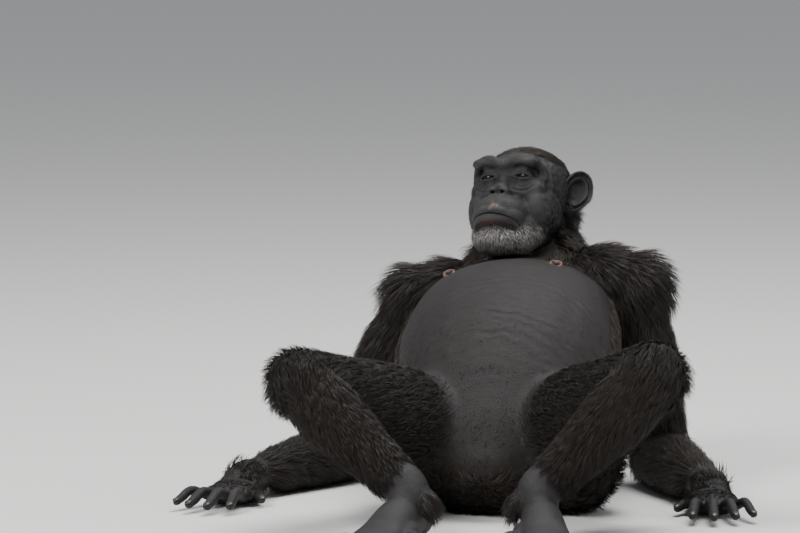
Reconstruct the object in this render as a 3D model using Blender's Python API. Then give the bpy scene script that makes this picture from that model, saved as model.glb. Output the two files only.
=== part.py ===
"""A life-size adult chimpanzee, reclining on its elbows with its knees spread.

Metres, +Z up. The animal faces -Y and its left side is at +X. The origin is on the floor,
in the middle of the flat that it sits on.
"""

import math

import bmesh
import bpy
import numpy as np
from mathutils import Euler, Matrix, Vector
from mathutils.bvhtree import BVHTree

# Driving sizes of the animal, in metres.
GAP = 0.0003
SHOULDER_HALF_SPAN = 0.165
UPPER_ARM = 0.274
FOREARM = 0.255
HIP_HALF_SPAN = 0.085
THIGH = 0.305
SHIN = 0.240
HEAD_SCALE = 1.05
EYE_RADIUS = 0.0122

# Heights of the joints that the pose sets.
HIP_HEIGHT = 0.112
ELBOW_HEIGHT = 0.047
WRIST_HEIGHT = 0.036
ANKLE_HEIGHT = 0.072

# Places and turns of the pose. The chest leans to the animal's right.
SHOULDER_LINE = Vector((-0.008, 0.355, 0.300))
CHEST_ROLL = 4.5
HEAD_CENTRE = Vector((-0.019, 0.392, 0.436))
HEAD_YAW, HEAD_ROLL, HEAD_PITCH = -15.0, -5.0, -17.0

# The trunk from the seat to the neck, as (y, z, half width, front depth, back depth).
TRUNK_STATIONS = (
    (-0.085, 0.085, 0.055, 0.035, 0.045),
    (-0.050, 0.098, 0.118, 0.082, 0.118),
    (0.010, 0.118, 0.150, 0.128, 0.140),
    (0.085, 0.150, 0.170, 0.160, 0.128),
    (0.160, 0.190, 0.176, 0.166, 0.108),
    (0.235, 0.235, 0.166, 0.150, 0.106),
    (0.300, 0.275, 0.150, 0.104, 0.104),
    (0.350, 0.312, 0.126, 0.060, 0.098),
    (0.385, 0.345, 0.088, 0.056, 0.086),
    (0.405, 0.380, 0.066, 0.060, 0.070),
    (0.408, 0.425, 0.060, 0.060, 0.062),
)
TRUNK_LEAN = -0.012

# The plane of the waist, and the cone that parts the neck from the chest.
WAIST = Vector((0.0, 0.110, 0.160))
TRUNK_AXIS = Vector((0.0, 0.889, 0.457))
NECK_SEAT = (-0.012, 0.380, 0.315)
NECK_AXIS = (0.0, 0.10, 0.99)
NECK_RADII = (0.058, 0.125)
NECK_DEPTH = 0.13

# Meshing: the voxels that fuse the flesh and the faces that each group keeps.
TRUNK_VOXEL, TRUNK_TRIANGLES = 0.0080, 900
LIMB_VOXEL, LIMB_TRIANGLES = 0.0060, 330
HEAD_VOXEL, HEAD_TRIANGLES = 0.0028, 1950
HAND_VOXEL, HAND_TRIANGLES = 0.0032, 400
FOOT_VOXEL, FOOT_TRIANGLES = 0.0036, 400

COLOURS = {
    "coat": ((0.018, 0.016, 0.016, 1.0), 0.75),
    "skin": ((0.075, 0.066, 0.062, 1.0), 0.6),
    "face": ((0.060, 0.055, 0.054, 1.0), 0.55),
    "eye": ((0.030, 0.014, 0.008, 1.0), 0.12),
}


def clear_scene():
    for obj in list(bpy.data.objects):
        bpy.data.objects.remove(obj)


def material(kind):
    found = bpy.data.materials.get(kind)
    if found:
        return found
    made = bpy.data.materials.new(kind)
    made.use_nodes = True
    shader = made.node_tree.nodes["Principled BSDF"]
    colour, roughness = COLOURS[kind]
    shader.inputs["Base Color"].default_value = colour
    shader.inputs["Roughness"].default_value = roughness
    shader.inputs["Metallic"].default_value = 0.0
    return made


def object_from(bm, name, kind=None):
    mesh = bpy.data.meshes.new(name)
    bmesh.ops.recalc_face_normals(bm, faces=bm.faces)
    bm.to_mesh(mesh)
    bm.free()
    obj = bpy.data.objects.new(name, mesh)
    bpy.context.scene.collection.objects.link(obj)
    if kind:
        obj.data.materials.append(material(kind))
    return obj


# Lumps and limbs, which are fused into flesh.


def lump(bm, centre, radii, turn=None, detail=3):
    """An ellipsoid of flesh. Turn is a 3x3 or 4x4 matrix."""
    place = Matrix.Translation(centre)
    if turn is not None:
        place = place @ turn.to_4x4()
    place = place @ Matrix.Diagonal((*radii, 1.0))
    bmesh.ops.create_icosphere(bm, subdivisions=detail, radius=1.0, matrix=place)


def loft(bm, rings, sides=28):
    """A closed tube through rings of (centre, side vector, back vector, half width, front, back)."""
    made = []
    for centre, side, back, half_width, front, rear in rings:
        ring = []
        for k in range(sides):
            angle = 2 * math.pi * k / sides
            across = side * (half_width * math.cos(angle))
            depth = rear if math.sin(angle) > 0 else front
            ring.append(bm.verts.new(centre + across + back * (depth * math.sin(angle))))
        made.append(ring)
    for low, high in zip(made, made[1:]):
        for k in range(sides):
            after = (k + 1) % sides
            bm.faces.new((low[k], low[after], high[after], high[k]))
    bm.faces.new(made[0])
    bm.faces.new(made[-1])


def between(rows, steps):
    """More rows on a smooth curve through the given rows of numbers."""
    rows = np.array(rows, float)
    padded = np.vstack([2 * rows[0] - rows[1], rows, 2 * rows[-1] - rows[-2]])
    out = []
    for i in range(len(rows) - 1):
        a, b, c, d = padded[i : i + 4]
        for step in range(steps):
            t = step / steps
            out.append(
                0.5
                * (
                    2 * b
                    + (c - a) * t
                    + (2 * a - 5 * b + 4 * c - d) * t**2
                    + (3 * b - a - 3 * c + d) * t**3
                )
            )
    out.append(rows[-1])
    return out


def limb(bm, points, steps=4):
    """A limb through points of (place, half width, half depth), with its width level."""
    rows = between([(*place, wide, deep) for place, wide, deep in points], steps)
    places = [Vector(row[:3]) for row in rows]
    side = None
    rings = []
    for i, row in enumerate(rows):
        ahead = places[min(i + 1, len(places) - 1)] - places[max(i - 1, 0)]
        ahead.normalize()
        if side is None:
            side = ahead.cross(Vector((0, 0, 1)))
            if side.length < 0.2:
                side = ahead.cross(Vector((0, 1, 0)))
        side = (side - ahead * side.dot(ahead)).normalized()
        rings.append((places[i], side, ahead.cross(side), row[3], row[4], row[4]))
    loft(bm, rings)


def fused(name, bm, voxel, smoothing, triangles, kind):
    """The overlapping shapes in bm as one smooth skin of about so many triangles, cut flat at the floor."""
    obj = object_from(bm, name)
    remesh = obj.modifiers.new("fuse", "REMESH")
    remesh.mode = "VOXEL"
    remesh.voxel_size = voxel
    smooth = obj.modifiers.new("smooth", "SMOOTH")
    smooth.factor = 0.5
    smooth.iterations = smoothing
    apply_modifiers(obj)
    thin = obj.modifiers.new("thin", "DECIMATE")
    faces = sum(len(p.vertices) - 2 for p in obj.data.polygons)
    thin.ratio = min(1.0, triangles / faces)
    apply_modifiers(obj)
    obj.data.materials.append(material(kind))
    return obj


def apply_modifiers(obj):
    graph = bpy.context.evaluated_depsgraph_get()
    mesh = bpy.data.meshes.new_from_object(obj.evaluated_get(graph))
    obj.modifiers.clear()
    old = obj.data
    obj.data = mesh
    bpy.data.meshes.remove(old)


def boolean(obj, other, operation="DIFFERENCE", solver="EXACT", keep_other=False):
    cut = obj.modifiers.new("cut", "BOOLEAN")
    cut.operation = operation
    cut.solver = solver
    cut.object = other
    split = obj.modifiers.new("split", "TRIANGULATE")
    split.min_vertices = 4
    apply_modifiers(obj)
    if not keep_other:
        bpy.data.objects.remove(other)


def islands(bm):
    """The connected sets of faces of a mesh."""
    left = set(bm.faces)
    found = []
    while left:
        todo = [left.pop()]
        island = list(todo)
        while todo:
            face = todo.pop()
            for edge in face.edges:
                for other in edge.link_faces:
                    if other in left:
                        left.remove(other)
                        todo.append(other)
                        island.append(other)
        found.append(island)
    return found


def volume_of(island):
    total = 0.0
    for face in island:
        corners = [v.co for v in face.verts]
        for i in range(1, len(corners) - 1):
            total += corners[0].dot(corners[i].cross(corners[i + 1])) / 6
    return total


def keep_largest(obj):
    """Leaves only the closed surface with the greatest volume."""
    bm = bmesh_of(obj)
    found = sorted(islands(bm), key=volume_of)
    drop = [face for island in found[:-1] for face in island]
    bmesh.ops.delete(bm, geom=drop, context="FACES")
    loose = [v for v in bm.verts if not v.link_faces]
    bmesh.ops.delete(bm, geom=loose, context="VERTS")
    bm.to_mesh(obj.data)
    bm.free()


def half_space(centre, normal, size=1.5):
    """A large block that fills the side of a plane that the normal points to."""
    bm = bmesh.new()
    turn = Vector(normal).normalized().to_track_quat("Z", "Y").to_matrix().to_4x4()
    block = Matrix.Translation(centre) @ turn @ Matrix.Translation((0, 0, size / 2))
    bmesh.ops.create_cube(bm, size=size, matrix=block)
    return object_from(bm, "cutter")


def cut_at_floor(obj):
    if min(v.co.z for v in obj.data.vertices) < 0:
        boolean(obj, half_space((0.0, 0.1, 0.0), (0, 0, -1), 2.5))


# The skeleton: every joint is worked out from the lengths and heights above.


def reach(start, length, height, heading):
    """The end of a bone that drops to a height, going out along a heading in degrees from -Y."""
    drop = height - start.z
    out = math.sqrt(length**2 - drop**2)
    turn = math.radians(heading)
    return Vector((start.x + out * math.sin(turn), start.y - out * math.cos(turn), height))


class Limbs:
    """Joint places of one side: sign is 1 on the left and -1 on the right."""

    ARM_HEADING = {1: (56.0, 24.0), -1: (-64.0, -24.0)}
    LEG_HEADING = {1: (42.0, -68.0), -1: (-37.0, 68.0)}
    KNEE_HEIGHT = {1: 0.238, -1: 0.220}
    FOOT_TURN = {1: 14.0, -1: -14.0}
    HAND_TURN = {1: 14.0, -1: -12.0}

    def __init__(self, sign):
        roll = math.radians(CHEST_ROLL)
        self.sign = sign
        across = SHOULDER_HALF_SPAN * sign
        self.shoulder = SHOULDER_LINE + Vector((across * math.cos(roll), 0, across * math.sin(roll)))
        upper, fore = self.ARM_HEADING[sign]
        self.elbow = reach(self.shoulder, UPPER_ARM, ELBOW_HEIGHT, upper)
        self.wrist = reach(self.elbow, FOREARM, WRIST_HEIGHT, fore)
        thigh, shin = self.LEG_HEADING[sign]
        self.hip = Vector((HIP_HALF_SPAN * sign, -0.005, HIP_HEIGHT))
        self.knee = reach(self.hip, THIGH, self.KNEE_HEIGHT[sign], thigh)
        self.ankle = reach(self.knee, SHIN, ANKLE_HEIGHT, shin)
        self.hand_turn = self.HAND_TURN[sign]
        self.foot_turn = self.FOOT_TURN[sign]


LEFT, RIGHT = Limbs(1), Limbs(-1)
SIDES = (("left", LEFT), ("right", RIGHT))


# Trunk, arms and legs, each fused whole and parted by thin cuts.


def trunk_frame(y_now, z_now, ahead):
    """Centre, side vector and back vector of the trunk at a height along it."""
    share = max(0.0, (y_now - TRUNK_STATIONS[0][0]) / (TRUNK_STATIONS[-1][0] - TRUNK_STATIONS[0][0]))
    roll = math.radians(CHEST_ROLL * share)
    side = Vector((math.cos(roll), 0, math.sin(roll)))
    side = (side - ahead * side.dot(ahead)).normalized()
    return Vector((TRUNK_LEAN * share**2, y_now, z_now)), side, side.cross(ahead) * -1


def build_trunk():
    bm = bmesh.new()
    rows = between(TRUNK_STATIONS, 4)
    rings = []
    for i, (y, z, half_width, front, back) in enumerate(rows):
        low, high = rows[max(i - 1, 0)], rows[min(i + 1, len(rows) - 1)]
        ahead = Vector((0, high[0] - low[0], high[1] - low[1])).normalized()
        centre, side, rear = trunk_frame(y, z, ahead)
        rings.append((centre, side, rear, half_width, front, back))
    loft(bm, rings)
    for _, limbs in SIDES:
        inward = Vector((-0.052 * limbs.sign, 0.004, 0.010))
        lump(bm, limbs.shoulder + inward, (0.062, 0.070, 0.050))
        lump(bm, limbs.hip + Vector((-0.010 * limbs.sign, 0.020, -0.010)), (0.085, 0.095, 0.108))
    trunk = fused("trunk", bm, TRUNK_VOXEL, 8, TRUNK_TRIANGLES, "coat")
    cut_at_floor(trunk)
    return trunk


def build_arm(limbs):
    """Upper arm and forearm in one, from inside the shoulder to past the wrist."""
    bm = bmesh.new()
    shoulder, elbow, wrist = limbs.shoulder, limbs.elbow, limbs.wrist
    lump(bm, shoulder + Vector((0.004 * limbs.sign, 0, -0.008)), (0.056, 0.060, 0.060))
    upper = [
        (shoulder, 0.048, 0.050),
        (shoulder.lerp(elbow, 0.35), 0.050, 0.050),
        (shoulder.lerp(elbow, 0.7), 0.044, 0.046),
        (elbow, 0.040, 0.042),
    ]
    limb(bm, upper)
    lump(bm, elbow + Vector((0, 0.008, -0.002)), (0.043, 0.046, 0.046))
    fore = [
        (elbow, 0.042, 0.040),
        (elbow.lerp(wrist, 0.25), 0.046, 0.042),
        (elbow.lerp(wrist, 0.6), 0.039, 0.035),
        (wrist, 0.031, 0.025),
        (wrist + (wrist - elbow).normalized() * 0.03, 0.031, 0.023),
    ]
    limb(bm, fore)
    arm = fused("arm", bm, LIMB_VOXEL, 8, LIMB_TRIANGLES, "coat")
    cut_at_floor(arm)
    return arm


def build_leg(limbs):
    """Thigh and shin in one, from inside the hip to past the ankle."""
    bm = bmesh.new()
    hip, knee, ankle = limbs.hip, limbs.knee, limbs.ankle
    lump(bm, hip + Vector((0.026 * limbs.sign, 0.020, -0.012)), (0.088, 0.098, 0.105))
    thigh = [
        (hip, 0.082, 0.086),
        (hip.lerp(knee, 0.3), 0.080, 0.084),
        (hip.lerp(knee, 0.65), 0.066, 0.068),
        (knee, 0.050, 0.054),
    ]
    limb(bm, thigh)
    lump(bm, knee, (0.052, 0.052, 0.054))
    shin = [
        (knee, 0.048, 0.050),
        (knee.lerp(ankle, 0.3), 0.047, 0.051),
        (knee.lerp(ankle, 0.65), 0.038, 0.041),
        (ankle, 0.032, 0.036),
        (ankle + (ankle - knee).normalized() * 0.04, 0.030, 0.034),
    ]
    limb(bm, shin)
    leg = fused("leg", bm, LIMB_VOXEL, 8, LIMB_TRIANGLES, "coat")
    cut_at_floor(leg)
    return leg


# Hands and feet. Each is modelled with its joint at the origin, its fingers along -Y and
# its floor side down, then turned, and set under its joint. The inner side is at -X on the left.

FINGERS = (
    # Root across, length, width and spread in degrees, from the little finger to the index.
    (0.030, 0.086, 0.0160, 13.0),
    (0.012, 0.105, 0.0175, 4.0),
    (-0.007, 0.112, 0.0180, -4.0),
    (-0.026, 0.098, 0.0175, -12.0),
)
TOES = (
    (0.028, 0.050, 0.0160, 16.0),
    (0.013, 0.058, 0.0170, 7.0),
    (-0.003, 0.062, 0.0175, -1.0),
    (-0.020, 0.058, 0.0180, -9.0),
)
PALM_LENGTH = 0.095
BALL_DISTANCE = 0.125


def digit(bm, root, length, width, spread, arch, sign):
    """A finger or toe: it rises over its knuckle and comes down to its tip."""
    turn = math.radians(spread)
    ahead = Vector((math.sin(turn), -math.cos(turn), 0))
    half = width / 2
    lifts = ((0.0, 0.0, 1.05), (0.42, arch, 1.05), (0.75, arch * 0.5, 0.95), (0.93, 0.0, 0.85))
    points = []
    for share, lift, size in lifts:
        place = root + ahead * (length * share) + Vector((0, 0, lift))
        place.x *= sign
        points.append((place, half * size, half * size))
    limb(bm, points, 3)
    tip = points[-1][0]
    lump(bm, tip, (half * 0.85, half * 0.95, half * 0.80), detail=2)


def build_hand(limbs, name):
    bm = bmesh.new()
    sign = limbs.sign
    height = limbs.wrist.z
    lump(bm, (0, 0.004, height - 0.002), (0.031, 0.034, 0.024))
    above, at = (0, 0.05, height), (0, 0.0, height)
    limb(bm, [(above, 0.031, 0.025), (at, 0.031, 0.025), ((0, -0.03, 0.026), 0.033, 0.022)])
    lump(bm, (0.0, -0.045, 0.019), (0.038, 0.048, 0.020))
    lump(bm, (0.0, -0.075, 0.017), (0.042, 0.026, 0.017))
    lump(bm, (-0.022 * sign, -0.030, 0.015), (0.018, 0.034, 0.016))
    for across, length, width, spread in FINGERS:
        digit(bm, Vector((across, -PALM_LENGTH + 0.012, 0.014)), length, width, spread, 0.012, sign)
    digit(bm, Vector((-0.028, -0.036, 0.012)), 0.056, 0.0165, -34.0, 0.003, sign)
    return settle(fused(name, bm, HAND_VOXEL, 4, HAND_TRIANGLES, "skin"), limbs.wrist, limbs.hand_turn)


def build_foot(limbs, name):
    bm = bmesh.new()
    sign = limbs.sign
    height = limbs.ankle.z
    shin = (limbs.knee - limbs.ankle).normalized()
    shin = Matrix.Rotation(math.radians(-limbs.foot_turn), 3, "Z") @ shin
    joint = Vector((0, 0, height))
    heel = Vector((0, -0.004, 0.035))
    limb(bm, [(joint + shin * 0.06, 0.032, 0.036), (joint, 0.031, 0.036), (heel, 0.030, 0.040)])
    lump(bm, (0, 0.028, 0.024), (0.026, 0.032, 0.025))
    limb(
        bm,
        [
            (Vector((0, 0.015, 0.036)), 0.028, 0.034),
            (Vector((0, -0.040, 0.034)), 0.031, 0.031),
            (Vector((0, -0.085, 0.022)), 0.036, 0.021),
            (Vector((0, -0.118, 0.017)), 0.038, 0.016),
        ],
    )
    lump(bm, (0.0, -0.118, 0.016), (0.038, 0.028, 0.017))
    for across, length, width, spread in TOES:
        digit(bm, Vector((across, -BALL_DISTANCE, 0.013)), length, width, spread, 0.007, sign)
    lump(bm, (-0.026 * sign, -0.062, 0.019), (0.020, 0.032, 0.018))
    digit(bm, Vector((-0.030, -0.072, 0.014)), 0.066, 0.0230, -42.0, 0.003, sign)
    return settle(fused(name, bm, FOOT_VOXEL, 4, FOOT_TRIANGLES, "skin"), limbs.ankle, limbs.foot_turn)


def settle(obj, joint, turn):
    """Turns a hand or foot under its joint and cuts it flat at the floor."""
    place = Matrix.Translation((joint.x, joint.y, 0)) @ Matrix.Rotation(math.radians(turn), 4, "Z")
    obj.data.transform(place)
    cut_at_floor(obj)
    return obj


# The head, in millimetres before HEAD_SCALE: the face looks along -Y and the origin is
# midway between the ear openings. A lump or tube off the middle has a twin.

HEAD_LUMPS = (
    ((0, 14, 27), (64, 78, 54)),
    ((0, 46, 4), (56, 46, 46)),
    ((46, -4, 10), (25, 52, 46)),
    ((0, -40, 30), (48, 34, 24)),
    ((27, -66, 42), (27, 14, 10)),
    ((0, -64, 36), (16, 14, 12)),
    ((41, -47, 2), (24, 24, 24)),
    ((20, -58, 0), (20, 18, 18)),
    ((0, -62, 14), (12, 14, 26)),
    ((0, -80, 1), (15, 13, 9)),
    ((10, -84, -4), (9.5, 10, 9)),
    ((0, -68, -33), (43, 50, 27)),
    ((0, -84, -46), (41, 36, 24)),
    ((0, -72, -70), (38, 38, 26)),
    ((22, -58, -66), (26, 40, 27)),
    ((34, -30, -50), (26, 46, 32)),
    ((44, -26, -24), (26, 46, 44)),
    ((0, 16, -34), (48, 48, 38)),
    ((0, -36, -62), (38, 44, 30)),
    ((28.5, -57, 22), (14.6, 14.4, 13.4)),
)
BROW = ((0, -70, 38), (10, -72, 42), (26, -71, 48), (42, -62, 44), (51, -49, 34), (53, -44, 20))
MOUTH = ((0, -121, -45), (13, -118, -46), (24, -108, -49), (32, -95, -54), (36, -86, -59))
NOSTRIL = Vector((8.0, -94.0, -7.0))
EYE_PLACE = Vector((28.5, -57.0, 22.5))
LID_OPENING = (11.6, 9.0, 3.0)


def head_place():
    turn = Matrix.Rotation(math.radians(HEAD_YAW), 4, "Z")
    turn = turn @ Matrix.Rotation(math.radians(HEAD_ROLL), 4, "Y")
    turn = turn @ Matrix.Rotation(math.radians(HEAD_PITCH), 4, "X")
    return Matrix.Translation(HEAD_CENTRE) @ turn @ Matrix.Scale(HEAD_SCALE * 0.001, 4)


def with_twin(point):
    """A place on the head, and its mirror image where it lies off the middle."""
    x, y, z = point
    return [Vector((x, y, z))] + ([Vector((-x, y, z))] if abs(x) > 0.01 else [])


def both_ways(points):
    """A run of points from the middle, carried through the middle to the other side."""
    return [(-x, y, z) for x, y, z in reversed(points[1:])] + list(points)


def build_head():
    bm = bmesh.new()
    for centre, radii in HEAD_LUMPS:
        for place in with_twin(centre):
            lump(bm, place, radii)
    brow = both_ways(BROW)
    limb(bm, [(p, 9.0, 8.0) for p in brow], 3)
    lip = both_ways(MOUTH)
    limb(bm, [((x * 0.97, y + 3.0, z + 5.5), 6.0, 6.5) for x, y, z in lip], 3)
    limb(bm, [((x * 0.95, y + 5.0, z - 6.0), 6.5, 6.5) for x, y, z in lip], 3)
    bmesh.ops.transform(bm, matrix=head_place(), verts=bm.verts)
    head = fused("head", bm, HEAD_VOXEL, 4, HEAD_TRIANGLES, "face")
    cut_face(head)
    return head


def cut_face(head):
    """Nostrils, the line of the mouth, and the lids' openings with the eyes' pockets."""
    bm = bmesh.new()
    for side in (1, -1):
        slant = Matrix.Rotation(math.radians(18 * side), 3, "Y")
        lump(bm, (NOSTRIL.x * side, NOSTRIL.y, NOSTRIL.z), (4.2, 7.5, 2.8), slant, 2)
        slant = Matrix.Rotation(math.radians(6 * side), 3, "Y")
        lump(bm, (EYE_PLACE.x * side, EYE_PLACE.y - 13.0, EYE_PLACE.z - 1.0), LID_OPENING, slant, 2)
    bmesh.ops.transform(bm, matrix=head_place(), verts=bm.verts)
    boolean(head, object_from(bm, "cutter"))
    bm = bmesh.new()
    for side in (1, -1):
        place = head_place() @ Vector((EYE_PLACE.x * side, EYE_PLACE.y, EYE_PLACE.z))
        socket, at = EYE_RADIUS + GAP, Matrix.Translation(place)
        bmesh.ops.create_uvsphere(bm, u_segments=12, v_segments=8, radius=socket, matrix=at)
    boolean(head, object_from(bm, "cutter"))
    bm = bmesh.new()
    rows = between(both_ways(MOUTH), 2)
    rings = []
    for i, row in enumerate(rows):
        ahead = Vector(rows[min(i + 1, len(rows) - 1)]) - Vector(rows[max(i - 1, 0)])
        out = ahead.cross(Vector((0, 0, 1))).normalized()
        rings.append((Vector(row), out, Vector((0, 0, 1)), 7.0, 0.9, 0.9))
    loft(bm, rings, 6)
    bmesh.ops.transform(bm, matrix=head_place(), verts=bm.verts)
    boolean(head, object_from(bm, "cutter"))
    keep_largest(head)


# The ear: a dished oval with a rolled rim, as (share of the rim's radius, depth in mm) from
# the middle of its front, round the rim, to the middle of its back.

EAR_PROFILE = (
    (0.18, 10.0),
    (0.42, 9.0),
    (0.58, 4.5),
    (0.70, 2.0),
    (0.82, 3.0),
    (0.92, -1.0),
    (1.00, 0.0),
    (0.97, 4.5),
    (0.80, 9.5),
    (0.50, 14.0),
    (0.20, 15.5),
)
EAR_HALF = Vector((23.0, 0.0, 34.0))
EAR_ROOT = Vector((66.0, 10.0, 22.0))
EAR_FLARE = 48.0
EAR_LEAN = 20.0


def build_ear(side, name):
    bm = bmesh.new()
    around = 16
    rings = []
    for share, depth in EAR_PROFILE:
        ring = []
        for k in range(around):
            angle = 2 * math.pi * k / around
            across, up = math.cos(angle), math.sin(angle)
            narrow = 1.0 - 0.30 * max(0.0, -up)
            x = EAR_HALF.x * share * across * narrow + 20.0
            z = EAR_HALF.z * share * up
            bend = 4.0 * share**2 * abs(up)
            ring.append(bm.verts.new((x, depth + bend - 3.0 * across * share, z)))
        rings.append(ring)
    for low, high in zip(rings, rings[1:]):
        for k in range(around):
            after = (k + 1) % around
            bm.faces.new((low[k], low[after], high[after], high[k]))
    bm.faces.new(rings[0])
    bm.faces.new(rings[-1])
    bmesh.ops.triangulate(bm, faces=bm.faces)
    turn = Matrix.Rotation(math.radians(EAR_FLARE), 4, "Z") @ Matrix.Rotation(math.radians(EAR_LEAN), 4, "Y")
    bmesh.ops.transform(bm, matrix=Matrix.Translation(EAR_ROOT) @ turn, verts=bm.verts)
    bmesh.ops.transform(bm, matrix=head_place() @ Matrix.Diagonal((side, 1, 1, 1)), verts=bm.verts)
    return object_from(bm, name, "face")


def build_eye(side, name):
    bm = bmesh.new()
    place = head_place() @ Vector((EYE_PLACE.x * side, EYE_PLACE.y, EYE_PLACE.z))
    at = Matrix.Translation(place)
    bmesh.ops.create_uvsphere(bm, u_segments=12, v_segments=8, radius=EYE_RADIUS, matrix=at)
    return object_from(bm, name, "eye")


# Parting the flesh into its named nodes.


def inflated(obj, by=GAP):
    """A copy of a closed mesh with its surface moved outwards."""
    bm = bmesh_of(obj)
    bm.normal_update()
    for vert in bm.verts:
        vert.co += vert.normal * (by * vert.calc_shell_factor())
    return object_from(bm, "cutter")


def trimmed(obj, neighbour, by=GAP):
    """Takes a neighbour, with the gap round it, out of a node."""
    boolean(obj, inflated(neighbour, by))
    keep_largest(obj)
    return obj


def parted(obj, place, normal, names):
    """Cuts a mesh across a joint into the piece before the plane and the piece beyond it."""
    normal = Vector(normal).normalized()
    beyond = object_from(bmesh_of(obj), names[1])
    beyond.data.materials.append(obj.data.materials[0])
    obj.name = names[0]
    boolean(obj, half_space(place - normal * GAP / 2, normal))
    boolean(beyond, half_space(place + normal * GAP / 2, -normal))
    keep_largest(obj)
    keep_largest(beyond)
    return obj, beyond


def joint_normal(low, joint, high):
    """The direction through a joint that halves the angle between its two bones."""
    return (joint - low).normalized() + (high - joint).normalized()


# Locks of hair: flat, tapered and bent, rooted well under the skin and laid along the coat.

LOCK_RINGS = ((0.0, 0.75, 1.0), (0.38, 1.0, 1.0), (0.74, 0.70, 0.6))
LOCK_SINK = 0.007
CLEARANCE = 0.0022


# Where the long hair behind the ears is rooted: how far back and how high, for one across.
NAPE_ROOTS = ((0.35, -0.28), (0.75, -0.15), (0.55, 0.12), (1.3, 0.1), (1.1, -0.3), (2.6, -0.05), (2.4, -0.5))


class Coat:
    """Lays locks on the nodes, and keeps each one clear of every other node and of the floor."""

    def __init__(self, nodes):
        self.nodes = nodes
        self.draw = np.random.default_rng(7)
        self.surfaces = {name: surface_of(obj) for name, obj in nodes.items()}
        self.locks = {name: [] for name in nodes}

    def lay(self, name, root, lie, length, width, lift, hug=1.0, thickness=0.0024):
        """Adds one lock to a node, with a seeded change of direction and size, if it has room."""
        surface = self.surfaces[name]
        place, normal, _, _ = surface.find_nearest(root)
        stray, grow, bend = self.draw.uniform((-0.16, 0.88, -0.10), (0.16, 1.12, 0.10))
        if hug:
            lie = lie - normal * lie.dot(normal)
        lie = lie.normalized()
        lie = (lie + lie.cross(normal) * stray).normalized()
        rings = []
        for share, wide, thick in (*LOCK_RINGS, (1.0, 0.0, 0.0)):
            straight = place + lie * (length * grow * share)
            near, out, _, _ = surface.find_nearest(straight)
            centre = straight.lerp(near, hug)
            up = normal.lerp(out, hug).normalized()
            side = lie.cross(up).normalized()
            centre += up * (-LOCK_SINK + (LOCK_SINK + lift) * share**0.65)
            centre += side * (length * bend * share**2)
            half_wide, half_thick = side * (width / 2 * wide), up * (thickness * thick)
            if wide:
                rings.append((centre + half_wide, centre + half_thick,
                              centre - half_wide, centre - half_thick))
            else:
                rings.append((centre,))
        points = [corner for ring in rings for corner in ring]
        for low, high in zip(rings, rings[1:]):
            points += [(a + b) / 2 for a, b in zip(low, high if len(high) == 4 else high * 4)]
        if self.has_room(name, points):
            self.locks[name].append(rings)

    def has_room(self, name, points):
        if min(point.z for point in points) < 0.003:
            return False
        for other, surface in self.surfaces.items():
            if other == name:
                continue
            for point in points:
                _, _, _, distance = surface.find_nearest(point)
                if distance < CLEARANCE or (distance < 0.03 and inside(surface, point)):
                    return False
        for other, locks in self.locks.items():
            if other == name:
                continue
            for rings in locks:
                for ring in rings[1:]:
                    if min((corner - point).length for corner in ring for point in points) < 0.009:
                        return False
        return True

    def fuse(self):
        for name, locks in self.locks.items():
            if not locks:
                continue
            group = bpy.data.collections.new("locks")
            for rings in locks:
                group.objects.link(lock_mesh(rings))
            join(self.nodes[name], group)


def inside(surface, point):
    """Whether a point lies inside a closed surface: a ray from it crosses it an odd number of times."""
    way = Vector((0.31, 0.53, 0.79)).normalized()
    crossings = 0
    hit, _, _, _ = surface.ray_cast(point, way)
    while hit is not None:
        crossings += 1
        hit, _, _, _ = surface.ray_cast(hit + way * 1e-5, way)
    return crossings % 2 == 1


def surface_of(obj):
    bm = bmesh_of(obj)
    tree = BVHTree.FromBMesh(bm)
    bm.free()
    return tree


def lock_mesh(rings):
    bm = bmesh.new()
    made = [[bm.verts.new(corner) for corner in ring] for ring in rings]
    for low, high in zip(made, made[1:]):
        for k in range(4):
            after = (k + 1) % 4
            if len(high) == 1:
                bm.faces.new((low[k], low[after], high[0]))
            else:
                bm.faces.new((low[k], low[after], high[after]))
                bm.faces.new((low[k], high[after], high[k]))
    bm.faces.new((made[0][0], made[0][1], made[0][2]))
    bm.faces.new((made[0][0], made[0][2], made[0][3]))
    bmesh.ops.recalc_face_normals(bm, faces=bm.faces)
    mesh = bpy.data.meshes.new("lock")
    bm.to_mesh(mesh)
    bm.free()
    return bpy.data.objects.new("lock", mesh)


def join(obj, group):
    """One union of a node with every piece in a collection, whose pieces are then removed."""
    union = obj.modifiers.new("join", "BOOLEAN")
    union.operation = "UNION"
    union.solver = "MANIFOLD"
    union.operand_type = "COLLECTION"
    union.collection = group
    split = obj.modifiers.new("split", "TRIANGULATE")
    split.min_vertices = 4
    apply_modifiers(obj)
    for piece in list(group.objects):
        bpy.data.objects.remove(piece)
    bpy.data.collections.remove(group)
    keep_largest(obj)


def coat_limb(coat, name, start, end, facing, rows, count, half_turn, length, width, lift, way=1):
    """Rows of locks round a limb, centred on the side that it shows the world."""
    axis = (end - start).normalized()
    facing = (facing - axis * facing.dot(axis)).normalized()
    surface = coat.surfaces[name]
    for index, share in enumerate(rows):
        centre = start.lerp(end, share)
        for k in range(count):
            step = (k + 0.5 * (index % 2)) / max(1, count - 1) - 0.5
            angle = math.radians(2 * half_turn * step)
            out = Matrix.Rotation(angle, 3, axis) @ facing
            hit, _, _, _ = surface.ray_cast(centre + out * 0.3, -out, 0.3)
            if hit is not None:
                coat.lay(name, hit, axis * way, length, width, lift, 0.93)


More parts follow.
